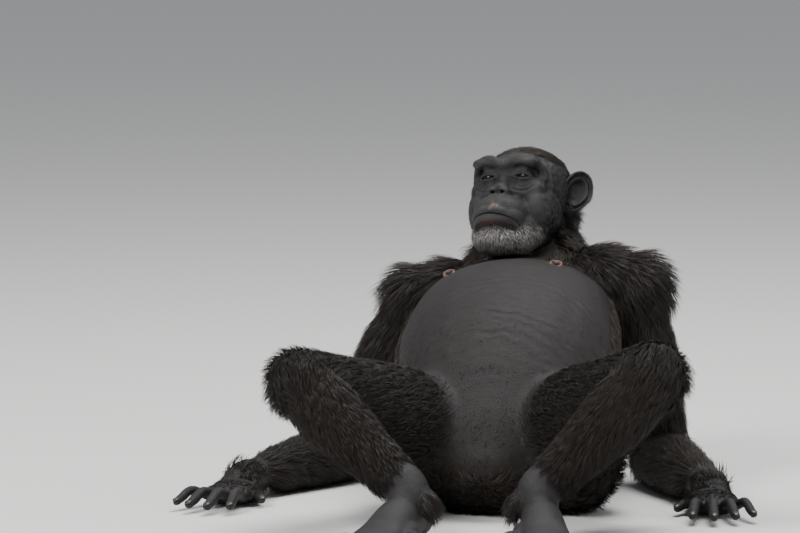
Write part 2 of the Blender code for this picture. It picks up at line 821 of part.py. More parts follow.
def coat_from(coat, name, centre, directions, lie, length, width, lift, hug=1.0):
    """Locks where rays from a point inside a node meet its surface."""
    surface = coat.surfaces[name]
    for direction in directions:
        out = Vector(direction).normalized()
        hit, _, _, _ = surface.ray_cast(centre + out * 0.4, -out, 0.4)
        if hit is not None:
            coat.lay(name, hit, lie, length, width, lift, hug)


def fan(facing, axis, count, half_turn, tilt=0.0):
    """Directions spread evenly about a facing one, turned about an axis and tilted towards it."""
    made = []
    for k in range(count):
        angle = math.radians(half_turn * (2 * k / max(1, count - 1) - 1))
        made.append(Matrix.Rotation(angle, 3, axis) @ facing + axis * math.tan(math.radians(tilt)))
    return made


def lay_coat(nodes):
    coat = Coat(nodes)
    for name, limbs in SIDES:
        out = Vector((limbs.sign, 0.25, 0.1))
        rows = (-0.10, 0.12, 0.36, 0.60)
        upper = (limbs.shoulder, limbs.elbow, out, rows, 5, 105, 0.078, 0.032, 0.012)
        coat_limb(coat, f"upper_arm_{name}", *upper)
        up = Vector((0.5 * limbs.sign, 0.0, 1.0))
        rows = (0.38, 0.68)
        fore = (limbs.elbow, limbs.wrist, up, rows, 4, 85, 0.072, 0.026, 0.010, -1)
        coat_limb(coat, f"forearm_{name}", *fore)
        up = Vector((0.3 * limbs.sign, 0.35, 1.0))
        rows = (0.18, 0.42, 0.66)
        coat_limb(coat, f"thigh_{name}", limbs.hip, limbs.knee, up, rows, 4, 90, 0.076, 0.040, 0.009)
        front = Vector((0.8 * limbs.sign, -0.6, 0.3))
        rows = (0.12, 0.50)
        coat_limb(coat, f"shin_{name}", limbs.knee, limbs.ankle, front, rows, 4, 100, 0.066, 0.030, 0.008)
    down_back = -TRUNK_AXIS
    behind = Vector((0, 0.457, -0.889))
    for height, count, half_turn in ((0.36, 4, 30), (0.31, 5, 50), (0.25, 5, 54), (0.19, 4, 58)):
        centre = Vector((0, height, height * 0.514 + 0.115))
        ways = fan(behind, TRUNK_AXIS, count, half_turn)
        coat_from(coat, "chest", centre, ways, down_back, 0.080, 0.040, 0.008)
    coat_head(coat)
    coat.fuse()


def coat_head(coat):
    """The beard on the chin and jaw, the cheeks' whiskers, and the long hair behind and below the ears."""
    place = head_place()
    turn = place.to_3x3().normalized()
    x, y, z = (Vector(turn.col[i]) for i in range(3))
    chin = place @ Vector((0, -62, -62))
    for tilt, count, half_turn in ((24, 7, 88), (52, 7, 80)):
        ways = fan(-y, z, count, half_turn, -tilt)
        coat_from(coat, "head", chin, ways, -z - y * 0.3, 0.027, 0.022, 0.0045, 0.4)
    for side in (1, -1):
        cheek = place @ Vector((28 * side, -10, -26))
        spread = ((-0.5, 0.1), (0.0, 0.1), (-0.3, 0.5), (0.3, 0.4))
        ways = [x * side + y * turn_back - z * drop for turn_back, drop in spread]
        coat_from(coat, "head", cheek, ways, -z + y * 0.5, 0.036, 0.024, 0.006, 0.5)
        nape = place @ Vector((20 * side, 30, -4))
        ways = [x * side + y * turn_back + z * rise for turn_back, rise in NAPE_ROOTS]
        for way in ways:
            hang = way.normalized() * 0.55 - z
            coat_from(coat, "head", nape, [way], hang, 0.064, 0.032, 0.004, 0.0)


def bmesh_of(obj):
    bm = bmesh.new()
    bm.from_mesh(obj.data)
    return bm


def neck_plug():
    """The cone-shaped seat that the neck stands in, between the shoulders."""
    bm = bmesh.new()
    turn = Vector(NECK_AXIS).to_track_quat("Z", "Y").to_matrix().to_4x4()
    place = Matrix.Translation(NECK_SEAT) @ turn @ Matrix.Translation((0, 0, NECK_DEPTH / 2))
    bmesh.ops.create_cone(
        bm, cap_ends=True, segments=24,
        radius1=NECK_RADII[0], radius2=NECK_RADII[1], depth=NECK_DEPTH, matrix=place
    )
    return object_from(bm, "plug")


def build():
    clear_scene()
    head = build_head()
    trunk = trimmed(build_trunk(), head)
    for name, side in (("left", 1), ("right", -1)):
        ear = build_ear(side, f"ear_{name}")
        trimmed(ear, head)
        build_eye(side, f"eye_{name}")
    for name, limbs in SIDES:
        arm = build_arm(limbs)
        trimmed(arm, trunk)
        leg = build_leg(limbs)
        trimmed(leg, trunk)
        hand = build_hand(limbs, f"hand_{name}")
        foot = build_foot(limbs, f"foot_{name}")
        along_arm = (limbs.wrist - limbs.elbow).normalized()
        boolean(hand, half_space(limbs.wrist - along_arm * GAP / 2, -along_arm, 0.4))
        boolean(arm, half_space(limbs.wrist - along_arm * GAP * 1.5, along_arm, 0.4))
        along_leg = (limbs.ankle - limbs.knee).normalized()
        above = limbs.ankle - along_leg * 0.012
        boolean(foot, half_space(above - along_leg * GAP / 2, -along_leg, 0.4))
        boolean(leg, half_space(above - along_leg * GAP * 1.5, along_leg, 0.4))
        for piece in (hand, foot, arm, leg):
            keep_largest(piece)
        bend = joint_normal(limbs.shoulder, limbs.elbow, limbs.wrist)
        parted(arm, limbs.elbow, bend, (f"upper_arm_{name}", f"forearm_{name}"))
        bend = joint_normal(limbs.hip, limbs.knee, limbs.ankle)
        parted(leg, limbs.knee, bend, (f"thigh_{name}", f"shin_{name}"))
    _, upper = parted(trunk, WAIST, TRUNK_AXIS, ("abdomen", "chest"))
    neck = object_from(bmesh_of(upper), "neck", "coat")
    plug = neck_plug()
    boolean(upper, inflated(plug))
    boolean(neck, plug, "INTERSECT")
    keep_largest(upper)
    keep_largest(neck)
    lay_coat({obj.name: obj for obj in bpy.data.objects})


build()
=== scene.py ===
import math

import bmesh
import bpy
import numpy as np
from mathutils import Matrix, Vector
from mathutils.bvhtree import BVHTree
from mathutils.kdtree import KDTree


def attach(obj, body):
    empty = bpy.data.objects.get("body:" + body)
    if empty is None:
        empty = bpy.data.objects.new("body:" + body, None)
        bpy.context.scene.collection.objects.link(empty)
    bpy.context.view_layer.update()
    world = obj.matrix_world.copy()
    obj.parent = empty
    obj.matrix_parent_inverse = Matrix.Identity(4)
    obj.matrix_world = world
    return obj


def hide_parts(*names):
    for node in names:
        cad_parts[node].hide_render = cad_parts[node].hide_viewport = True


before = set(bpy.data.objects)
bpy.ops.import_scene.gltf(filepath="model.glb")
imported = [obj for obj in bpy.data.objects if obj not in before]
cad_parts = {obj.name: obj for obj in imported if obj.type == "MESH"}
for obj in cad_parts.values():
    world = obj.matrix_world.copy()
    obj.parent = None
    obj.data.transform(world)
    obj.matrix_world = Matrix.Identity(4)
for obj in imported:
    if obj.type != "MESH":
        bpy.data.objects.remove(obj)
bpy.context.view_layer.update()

# The pose: metres, the animal faces -Y and its left side is at +X.
pose = {
    "shoulderLine": Vector((-0.008, 0.355, 0.300)),
    "shoulderHalf": 0.165,
    "chestRoll": 4.5,
    "hipHalf": 0.085,
    "hipHeight": 0.112,
    "upperArm": 0.274,
    "forearm": 0.255,
    "thigh": 0.305,
    "shin": 0.240,
    "elbowHeight": 0.047,
    "wristHeight": 0.036,
    "ankleHeight": 0.072,
    "kneeHeight": {1: 0.238, -1: 0.220},
    "armHeading": {1: (56.0, 24.0), -1: (-64.0, -24.0)},
    "legHeading": {1: (42.0, -68.0), -1: (-37.0, 68.0)},
    "handTurn": {1: 14.0, -1: -12.0},
    "footTurn": {1: 14.0, -1: -14.0},
    "headCentre": Vector((-0.019, 0.392, 0.436)),
    "headTurn": (-15.0, -5.0, -17.0),  # yaw, roll, pitch
    "headScale": 1.05,
    "trunkAxis": Vector((0.0, 0.889, 0.457)),
}


def reachTo(start, length, height, heading):
    drop = height - start.z
    out = math.sqrt(length**2 - drop**2)
    turn = math.radians(heading)
    return Vector((start.x + out * math.sin(turn), start.y - out * math.cos(turn), height))


def limbsOf(sign):
    roll = math.radians(pose["chestRoll"])
    across = pose["shoulderHalf"] * sign
    shoulder = pose["shoulderLine"] + Vector((across * math.cos(roll), 0, across * math.sin(roll)))
    upper, fore = pose["armHeading"][sign]
    elbow = reachTo(shoulder, pose["upperArm"], pose["elbowHeight"], upper)
    wrist = reachTo(elbow, pose["forearm"], pose["wristHeight"], fore)
    hip = Vector((pose["hipHalf"] * sign, -0.005, pose["hipHeight"]))
    thigh, shin = pose["legHeading"][sign]
    knee = reachTo(hip, pose["thigh"], pose["kneeHeight"][sign], thigh)
    ankle = reachTo(knee, pose["shin"], pose["ankleHeight"], shin)
    name = "Left" if sign > 0 else "Right"
    joints = {"shoulder": shoulder, "elbow": elbow, "wrist": wrist, "hip": hip, "knee": knee, "ankle": ankle}
    return {"sign": sign, "name": name, **joints}


left, right = limbsOf(1), limbsOf(-1)


def headPlace():
    yaw, roll, pitch = (math.radians(a) for a in pose["headTurn"])
    turn = Matrix.Rotation(yaw, 4, "Z") @ Matrix.Rotation(roll, 4, "Y") @ Matrix.Rotation(pitch, 4, "X")
    return Matrix.Translation(pose["headCentre"]) @ turn @ Matrix.Scale(pose["headScale"] * 0.001, 4)


headFrame = headPlace()


# Flesh is built of overlapping balls and chains of balls, then fused.
fleshBalls = []  # region, place, share along the region and the way its hair lies, for the coat


def addBall(bm, centre, radii, turn=None, detail=3, region=None, share=0.5, lie=None):
    place = Matrix.Translation(centre)
    if turn is not None:
        place = place @ turn.to_4x4()
    place = place @ Matrix.Diagonal((*radii, 1.0))
    bmesh.ops.create_icosphere(bm, subdivisions=detail, radius=1.0, matrix=place)
    if region:
        fleshBalls.append((region, place, share, lie))


def smoothRows(rows, steps):
    rows = np.array(rows, float)
    padded = np.vstack([2 * rows[0] - rows[1], rows, 2 * rows[-1] - rows[-2]])
    made = []
    for i in range(len(rows) - 1):
        a, b, c, d = padded[i : i + 4]
        for step in range(steps):
            t = step / steps
            bend = (2 * a - 5 * b + 4 * c - d) * t**2 + (3 * b - a - 3 * c + d) * t**3
            made.append(0.5 * (2 * b + (c - a) * t + bend))
    made.append(rows[-1])
    return made


def addChain(bm, points, steps=6, detail=3, region=None, flow=1):
    # Each point is a place, a half width and a half depth; the width lies level.
    rows = smoothRows([(*place, wide, deep) for place, wide, deep in points], steps)
    for i, row in enumerate(rows):
        ahead = Vector(rows[min(i + 1, len(rows) - 1)][:3]) - Vector(rows[max(i - 1, 0)][:3])
        ahead.normalize()
        side = ahead.cross(Vector((0, 0, 1)))
        if side.length < 0.2:
            side = ahead.cross(Vector((0, 1, 0)))
        side.normalize()
        turn = Matrix((side, ahead, side.cross(ahead))).transposed()
        long = min(row[3], row[4])
        addBall(bm, row[:3], (row[3], long, row[4]), turn, detail, region, i / (len(rows) - 1), ahead * flow)


def bakeModifiers(obj):
    graph = bpy.context.evaluated_depsgraph_get()
    mesh = bpy.data.meshes.new_from_object(obj.evaluated_get(graph))
    obj.modifiers.clear()
    old = obj.data
    obj.data = mesh
    bpy.data.meshes.remove(old)


def newObject(bm, name):
    mesh = bpy.data.meshes.new(name)
    bmesh.ops.recalc_face_normals(bm, faces=bm.faces)
    bm.to_mesh(mesh)
    bm.free()
    obj = bpy.data.objects.new(name, mesh)
    bpy.context.scene.collection.objects.link(obj)
    return obj


def fuse(bm, name, voxel, smoothing):
    obj = newObject(bm, name)
    remesh = obj.modifiers.new("fuse", "REMESH")
    remesh.mode = "VOXEL"
    remesh.voxel_size = voxel
    smooth = obj.modifiers.new("smooth", "SMOOTH")
    smooth.factor = 0.5
    smooth.iterations = smoothing
    bakeModifiers(obj)
    return obj


def cutBy(obj, other, operation="DIFFERENCE"):
    cut = obj.modifiers.new("cut", "BOOLEAN")
    cut.operation = operation
    cut.solver = "MANIFOLD"
    cut.object = other
    bakeModifiers(obj)
    bpy.data.objects.remove(other)


def pointsOf(obj):
    co = np.empty(len(obj.data.vertices) * 3, np.float32)
    obj.data.vertices.foreach_get("co", co)
    return co.reshape(-1, 3).astype(float)


def normalsOf(obj):
    no = np.empty(len(obj.data.vertices) * 3, np.float32)
    obj.data.vertex_normals.foreach_get("vector", no)
    return no.reshape(-1, 3).astype(float)


def setPoints(obj, co):
    obj.data.vertices.foreach_set("co", co.astype(np.float32).ravel())
    obj.data.update()


def shadeSmooth(obj):
    obj.data.polygons.foreach_set("use_smooth", np.ones(len(obj.data.polygons), bool))


def spunProfile(places, axis, steps, weld):
    # The outline's points, spun once round the axis and welded.
    bm = bmesh.new()
    chain = [bm.verts.new(place) for place in places]
    edges = [bm.edges.new(pair) for pair in zip(chain, chain[1:])]
    bmesh.ops.spin(bm, geom=chain + edges, cent=(0, 0, 0), axis=axis, angle=2 * math.pi, steps=steps,
                   use_merge=True)
    bmesh.ops.remove_doubles(bm, verts=bm.verts, dist=weld)
    return bm


def rise(x, low, high):
    t = np.clip((x - low) / (high - low), 0, 1)
    return t * t * (3 - 2 * t)


# The trunk with arms and legs.

trunk = {
    "voxel": 0.0068,
    "smoothing": 6,
    "inset": 0.004,
    "stations": (  # y, z, half width, front and back depth
        (-0.085, 0.085, 0.055, 0.035, 0.045),
        (-0.050, 0.098, 0.118, 0.082, 0.118),
        (0.010, 0.118, 0.150, 0.128, 0.140),
        (0.085, 0.150, 0.170, 0.160, 0.128),
        (0.160, 0.190, 0.176, 0.166, 0.108),
        (0.235, 0.235, 0.166, 0.150, 0.106),
        (0.300, 0.275, 0.150, 0.104, 0.104),
        (0.350, 0.312, 0.126, 0.060, 0.098),
        (0.385, 0.345, 0.088, 0.056, 0.086),
        (0.405, 0.380, 0.066, 0.060, 0.070),
        (0.408, 0.425, 0.060, 0.060, 0.062),
    ),
    "lean": -0.012,
}


def addTrunk(bm):
    rows = smoothRows(trunk["stations"], 6)
    span = rows[-1][0] - rows[0][0]
    for i, (y, z, wide, front, back) in enumerate(rows):
        low, high = rows[max(i - 1, 0)], rows[min(i + 1, len(rows) - 1)]
        ahead = Vector((0, high[0] - low[0], high[1] - low[1])).normalized()
        share = max(0.0, (y - rows[0][0]) / span)
        roll = math.radians(pose["chestRoll"] * share)
        side = Vector((math.cos(roll), 0, math.sin(roll)))
        side = (side - ahead * side.dot(ahead)).normalized()
        belly = side.cross(ahead)
        centre = Vector((trunk["lean"] * share**2, y, z)) + belly * (front - back) / 2
        turn = Matrix((side, ahead, belly)).transposed()
        addBall(bm, centre, (wide, 0.036, (front + back) / 2), turn, 3, "trunk", i / (len(rows) - 1), -ahead)


def addArm(bm, limbs):
    shoulder, elbow, wrist, sign = limbs["shoulder"], limbs["elbow"], limbs["wrist"], limbs["sign"]
    name = "arm" + limbs["name"]
    down = Vector((0.95 * sign, 0.25, -0.12))
    addBall(bm, shoulder + Vector((0.004 * sign, 0, -0.008)), (0.056, 0.060, 0.060), None, 3, name, 0.0, down)
    inner = shoulder + Vector((-0.052 * sign, 0.004, 0.010))
    addBall(bm, inner, (0.062, 0.070, 0.050), None, 3, name, 0.0, down)
    upper = [(shoulder, 0.048, 0.050), (shoulder.lerp(elbow, 0.35), 0.050, 0.050),
             (shoulder.lerp(elbow, 0.7), 0.044, 0.046), (elbow, 0.040, 0.042)]
    addChain(bm, upper, region=name)
    addBall(bm, elbow + Vector((0, 0.008, -0.002)), (0.043, 0.046, 0.046))
    beyond = wrist + (wrist - elbow).normalized() * 0.03
    fore = [(elbow, 0.042, 0.040), (elbow.lerp(wrist, 0.25), 0.046, 0.042),
            (elbow.lerp(wrist, 0.6), 0.039, 0.035), (wrist, 0.031, 0.025), (beyond, 0.029, 0.021)]
    addChain(bm, fore, region="forearm" + limbs["name"], flow=-1)


def addLeg(bm, limbs):
    hip, knee, ankle, sign = limbs["hip"], limbs["knee"], limbs["ankle"], limbs["sign"]
    name = "thigh" + limbs["name"]
    down = (knee - hip).normalized()
    addBall(bm, hip + Vector((-0.010 * sign, 0.020, -0.010)), (0.085, 0.095, 0.108), None, 3, name, 0.0, down)
    addBall(bm, hip + Vector((0.026 * sign, 0.020, -0.012)), (0.088, 0.098, 0.105), None, 3, name, 0.0, down)
    thigh = [(hip, 0.082, 0.086), (hip.lerp(knee, 0.3), 0.080, 0.084), (hip.lerp(knee, 0.65), 0.066, 0.068),
             (knee, 0.050, 0.054)]
    addChain(bm, thigh, region=name)
    addBall(bm, knee, (0.052, 0.052, 0.054))
    beyond = ankle + (ankle - knee).normalized() * 0.03
    shin = [(knee, 0.048, 0.050), (knee.lerp(ankle, 0.3), 0.047, 0.051),
            (knee.lerp(ankle, 0.65), 0.038, 0.041), (ankle, 0.031, 0.035), (beyond, 0.026, 0.030)]
    addChain(bm, shin, region="shin" + limbs["name"])


def makeBody():
    bm = bmesh.new()
    addTrunk(bm)
    for limbs in (left, right):
        addArm(bm, limbs)
        addLeg(bm, limbs)
    body = fuse(bm, "skin", trunk["voxel"], trunk["smoothing"])
    co, no = pointsOf(body), normalsOf(body)
    setPoints(body, co - no * trunk["inset"])
    return body


# The head in millimetres before its scale: the face looks along -Y from between the ear openings.
head = {
    "voxel": 0.0020,
    "smoothing": 5,
    "lumps": (
        ((0, 14, 27), (63, 77, 54)),
        ((0, 44, 8), (56, 46, 46)),
        ((46, -4, 10), (23, 50, 44)),
        ((0, -40, 30), (48, 34, 24)),
        ((27, -66, 42), (27, 14, 10)),
        ((0, -64, 36), (16, 14, 12)),
        ((39, -47, 2), (22, 23, 23)),
        ((20, -58, 0), (20, 18, 18)),
        ((0, -62, 14), (12, 14, 26)),
        ((0, -80, 1), (15, 13, 9)),
        ((10, -84, -4), (9.5, 10, 9)),
        ((0, -68, -33), (43, 50, 27)),
        ((0, -84, -46), (41, 36, 24)),
        ((0, -72, -70), (38, 38, 26)),
        ((22, -58, -66), (26, 40, 27)),
        ((34, -30, -50), (25, 46, 31)),
        ((44, -26, -24), (25, 46, 44)),
        ((0, 16, -34), (46, 46, 38)),
        ((0, -36, -62), (38, 44, 30)),
        ((28.5, -57, 22), (14.6, 14.4, 13.4)),
    ),
    "brow": ((0, -70, 38), (10, -72, 42), (26, -71, 48), (42, -62, 44), (51, -49, 34), (53, -44, 20)),
    "mouth": ((0, -121, -45), (13, -118, -46), (24, -108, -49), (32, -95, -54), (36, -86, -59)),
    "nostril": Vector((8.0, -94.0, -7.0)),
    "eye": Vector((28.5, -57.0, 22.5)),
    "eyeRadius": 0.0122,
    "lidOpening": (11.8, 9.0, 2.7),
}


def withTwin(point):
    x, y, z = point
    return [Vector((x, y, z))] + ([Vector((-x, y, z))] if abs(x) > 0.01 else [])


def bothWays(points):
    return [(-x, y, z) for x, y, z in reversed(points[1:])] + list(points)


def makeHead():
    bm = bmesh.new()
    for centre, radii in head["lumps"]:
        for place in withTwin(centre):
            addBall(bm, place, radii)
    addChain(bm, [(p, 8.5, 7.5) for p in bothWays(head["brow"])], 5, 2)
    lip = bothWays(head["mouth"])
    addChain(bm, [((x * 0.97, y + 3.0, z + 5.5), 6.0, 6.5) for x, y, z in lip], 5, 2)
    addChain(bm, [((x * 0.95, y + 5.0, z - 6.0), 6.5, 6.5) for x, y, z in lip], 5, 2)
    bmesh.ops.transform(bm, matrix=headFrame, verts=bm.verts)
    skull = fuse(bm, "skull", head["voxel"], head["smoothing"])
    cutFace(skull)
    return skull


def toHead(points):
    place = np.array(headFrame.inverted())
    return points @ place[:3, :3].T + place[:3, 3]


def cutFace(skull):
    bm = bmesh.new()
    for side in (1, -1):
        slant = Matrix.Rotation(math.radians(18 * side), 3, "Y")
        nostril = head["nostril"]
        addBall(bm, (nostril.x * side, nostril.y, nostril.z), (4.2, 7.5, 2.8), slant)
        slant = Matrix.Rotation(math.radians(6 * side), 3, "Y")
        eye = head["eye"]
        addBall(bm, (eye.x * side, eye.y - 13.0, eye.z - 1.0), head["lidOpening"], slant)
    bmesh.ops.transform(bm, matrix=headFrame, verts=bm.verts)
    cutBy(skull, newObject(bm, "cutter"))
    bm = bmesh.new()
    for side in (1, -1):
        eye = headFrame @ Vector((head["eye"].x * side, head["eye"].y, head["eye"].z))
        radius = head["eyeRadius"] + 0.0002
        place = Matrix.Translation(eye)
        bmesh.ops.create_uvsphere(bm, u_segments=48, v_segments=32, radius=radius, matrix=place)
    cutBy(skull, newObject(bm, "cutter"))
    bm = bmesh.new()
    rows = smoothRows(bothWays(head["mouth"]), 6)
    for i, row in enumerate(rows):
        ahead = Vector(rows[min(i + 1, len(rows) - 1)]) - Vector(rows[max(i - 1, 0)])
        out = ahead.cross(Vector((0, 0, 1))).normalized()
        turn = Matrix((out, ahead.normalized(), out.cross(ahead).normalized())).transposed()
        fade = 1 - 0.5 * abs(2 * i / (len(rows) - 1) - 1) ** 3
        addBall(bm, row, (7.0, 3.2, 0.8 * fade), turn, 2)
    bmesh.ops.transform(bm, matrix=headFrame, verts=bm.verts)
    cutBy(skull, fuse(bm, "cutter", 0.0005, 2))


# Folds of the face as seen from the front: across and up in millimetres, then half width and depth.
# A depth below nothing raises a ridge. Each is made on both sides.
faceFolds = (
    (((0, 38), (0, 45), (0, 51)), 7.0, -3.6),
    (((3.0, 53), (3.5, 44), (3.0, 34)), 1.6, 2.0),
    (((9.0, 52), (8.5, 45), (7.0, 39)), 1.5, 1.1),
    (((0, 50), (10, 52.5), (26, 58), (40, 55), (50, 44)), 2.0, -2.2),
    (((0, 42), (10, 45), (26, 50), (40, 47), (47, 40)), 3.0, 0.9),
    (((13, 26), (21, 33.0), (29, 35.0), (38, 32.0), (46, 24)), 3.0, 2.6),
    (((0, 31), (8, 31), (14, 27)), 4.0, 2.2),
    (((13, 22), (20, 29.5), (28.5, 31.0), (37, 28.5), (43, 22)), 1.6, -1.0),
    (((16.2, 20.5), (22, 25.4), (28.5, 26.6), (35, 25.0), (41, 20.5)), 1.3, -1.1),
    (((16.2, 20.5), (22, 17.3), (28.5, 16.5), (35, 17.2), (41, 20.5)), 1.3, -1.2),
    (((15, 17), (21, 13.2), (28.5, 11.6), (36, 12.8), (43, 17.5)), 1.5, 1.9),
    (((13, 12), (20, 7.2), (28.5, 5.0), (37, 7.0), (46, 13)), 1.9, 2.6),
    (((11, 6), (18, 1.4), (28, -2.0), (38, 0.5), (47, 7)), 2.2, 2.2),
    (((43, 21), (50, 24), (56, 25)), 1.4, 0.9),
    (((44, 18), (51, 17), (57, 15)), 1.4, 0.9),
    (((0, 26), (6, 24.5), (12, 26)), 1.4, 1.0),
    (((0, 19), (6, 18), (11, 18.5)), 1.4, 0.9),
    (((0, 12), (7, 11), (12, 9)), 1.6, 1.1),
    (((0, 2), (0, -3.5), (0, -8)), 1.7, 1.6),
    (((2.5, 6), (10, 5), (17.5, -1), (19, -8), (14, -13.5)), 2.0, 1.7),
    (((3.8, -4.2), (8, -2.6), (12.6, -4.5), (13, -8.5), (8, -11)), 1.3, -1.0),
    (((13, -4), (24, -9), (34, -18), (42, -30), (45, -44)), 3.4, 1.5),
    (((37, -58), (42, -62), (45, -68)), 2.6, 0.8),
    (((34, -66), (20, -64.5), (10, -61.5), (0, -61)), 2.2, 0.9),
    (((30, -75), (16, -71), (0, -70)), 2.4, 0.8),
    (((5, -20), (5.5, -28), (6, -37)), 1.3, 0.45),
    (((13, -20), (15, -29), (16.5, -38)), 1.3, 0.45),
    (((22, -22), (25.5, -32), (27, -42)), 1.4, 0.5),
)


def sculptFace(obj):
    co, no = pointsOf(obj), normalsOf(obj)
    h = toHead(co)
    inFront = rise(-h[:, 1], 18, 34) * (h[:, 1] > -135)
    move = np.zeros(len(co))
    for path, width, depth in faceFolds:
        points = np.array(smoothRows([(x, z, 0) for x, z in path], 5))[:, :2]
        start, end = points[:-1], points[1:]
        meets = abs(path[0][0]) < 0.01 or abs(path[-1][0]) < 0.01
        strength = depth * (0.5 if meets else 1.0)  # twins that meet at the middle share the depth
        for side in (1, -1):
            gap = np.full(len(co), 1e9)
            spot = np.stack([h[:, 0] * side, h[:, 2]], 1)
            fade = np.ones(len(co))
            for i, (a, b) in enumerate(zip(start, end)):
                t = np.clip(((spot - a) @ (b - a)) / max((b - a) @ (b - a), 1e-9), 0, 1)
                far = np.linalg.norm(spot - a - t[:, None] * (b - a), axis=1)
                closer = far < gap
                gap[closer] = far[closer]
                along = (i + t) / len(start)
                fade[closer] = np.minimum(1, (4 * np.minimum(along, 1 - along) + 0.35))[closer]
            if meets:
                fade = np.ones(len(co))
            move -= strength * fade * np.exp(-((gap / width) ** 2)) * (spot[:, 0] > -2 * width)
    setPoints(obj, co + no * (move * inFront * 0.001 * pose["headScale"])[:, None])


ear = {
    "profile": ((0.0, 11.5), (0.20, 11.0), (0.40, 10.0), (0.54, 5.0), (0.66, 0.8), (0.77, 4.2), (0.86, 2.6),
                (0.93, -2.4), (1.00, 0.0), (0.97, 4.5), (0.80, 8.5), (0.50, 14.0), (0.0, 16.0)),
    "half": (23.0, 34.0),
    "root": {1: Vector((66.0, 10.0, 22.0)), -1: Vector((72.0, 8.0, 22.0))},
    "flare": 48.0,
    "lean": 20.0,
}


def makeEar(side):
    outline = [(share, depth, 0) for share, depth in smoothRows(ear["profile"], 3)]
    bm = spunProfile(outline, (0, 1, 0), 56, 1e-4)
    for v in bm.verts:
        across, up = v.co.x, v.co.z
        share = math.hypot(across, up)
        narrow = 1.0 - 0.30 * max(0.0, -up)
        v.co.x = ear["half"][0] * across * narrow + 20.0
        v.co.z = ear["half"][1] * up
        v.co.y += 4.0 * share * abs(up) - 3.0 * across
    flare, lean = math.radians(ear["flare"]), math.radians(ear["lean"])
    turn = Matrix.Rotation(flare, 4, "Z") @ Matrix.Rotation(lean, 4, "Y")
    bmesh.ops.transform(bm, matrix=Matrix.Translation(ear["root"][side]) @ turn, verts=bm.verts)
    bmesh.ops.transform(bm, matrix=headFrame @ Matrix.Diagonal((side, 1, 1, 1)), verts=bm.verts)
    return newObject(bm, "ear")


# Hands and feet lie flat, with the joint at the origin and the digits along -Y.
hand = {
    "voxel": 0.0032,
    "palmLength": 0.095,
    "fingers": (  # root across, length, width, spread in degrees
        (0.030, 0.086, 0.0160, 13.0),
        (0.012, 0.105, 0.0175, 4.0),
        (-0.007, 0.112, 0.0180, -4.0),
        (-0.026, 0.098, 0.0175, -12.0),
    ),
    "thumb": (Vector((-0.028, -0.036, 0.012)), 0.056, 0.0165, -34.0),
}
foot = {
    "voxel": 0.0034,
    "ball": 0.125,
    "toes": (
        (0.028, 0.050, 0.0160, 16.0),
        (0.013, 0.058, 0.0170, 7.0),
        (-0.003, 0.062, 0.0175, -1.0),
        (-0.020, 0.058, 0.0180, -9.0),
    ),
    "bigToe": (Vector((-0.030, -0.072, 0.014)), 0.066, 0.0230, -42.0),
}
nailPlaces = []


def addDigit(bm, root, length, width, spread, arch, sign, place):
    turn = math.radians(spread)
    ahead = Vector((math.sin(turn), -math.cos(turn), 0))
    half = width / 2
    points = []
    for share, lift, size in ((0.0, 0.0, 1.05), (0.42, arch, 1.06), (0.60, arch, 0.95),
                              (0.75, arch * 0.5, 0.98), (0.93, 0.0, 0.85)):
        at = root + ahead * (length * share) + Vector((0, 0, lift))
        at.x *= sign
        points.append((at, half * size, half * size))
    addChain(bm, points, 4, 2)
    tip = points[-1][0]
    addBall(bm, tip, (half * 0.85, half * 0.95, half * 0.80))
    flat = Vector((ahead.x * sign, ahead.y, 0))
    nailPlaces.append((place @ tip, place.to_3x3() @ flat, half))


def settleUnder(joint, turn):
    return Matrix.Translation((joint.x, joint.y, 0)) @ Matrix.Rotation(math.radians(turn), 4, "Z")


def makeHand(limbs):
    bm = bmesh.new()
    sign, height = limbs["sign"], limbs["wrist"].z
    place = settleUnder(limbs["wrist"], pose["handTurn"][sign])
    addBall(bm, (0, 0.004, height - 0.002), (0.030, 0.034, 0.023))
    addChain(bm, [(Vector((0, 0.03, height)), 0.028, 0.022), (Vector((0, 0, height)), 0.029, 0.023),
                  (Vector((0, -0.03, 0.026)), 0.032, 0.021)])
    addBall(bm, (0.0, -0.045, 0.019), (0.037, 0.048, 0.0195))
    addBall(bm, (0.0, -0.075, 0.017), (0.041, 0.026, 0.0165))
    addBall(bm, (-0.022 * sign, -0.030, 0.015), (0.018, 0.034, 0.016))
    for across, length, width, spread in hand["fingers"]:
        knuckle = Vector((across, 0.012 - hand["palmLength"], 0.014))
        addDigit(bm, knuckle, length, width, spread, 0.012, sign, place)
    root, length, width, spread = hand["thumb"]
    addDigit(bm, root, length, width, spread, 0.003, sign, place)
    obj = fuse(bm, "hand", hand["voxel"], 4)
    obj.data.transform(place)
    return obj


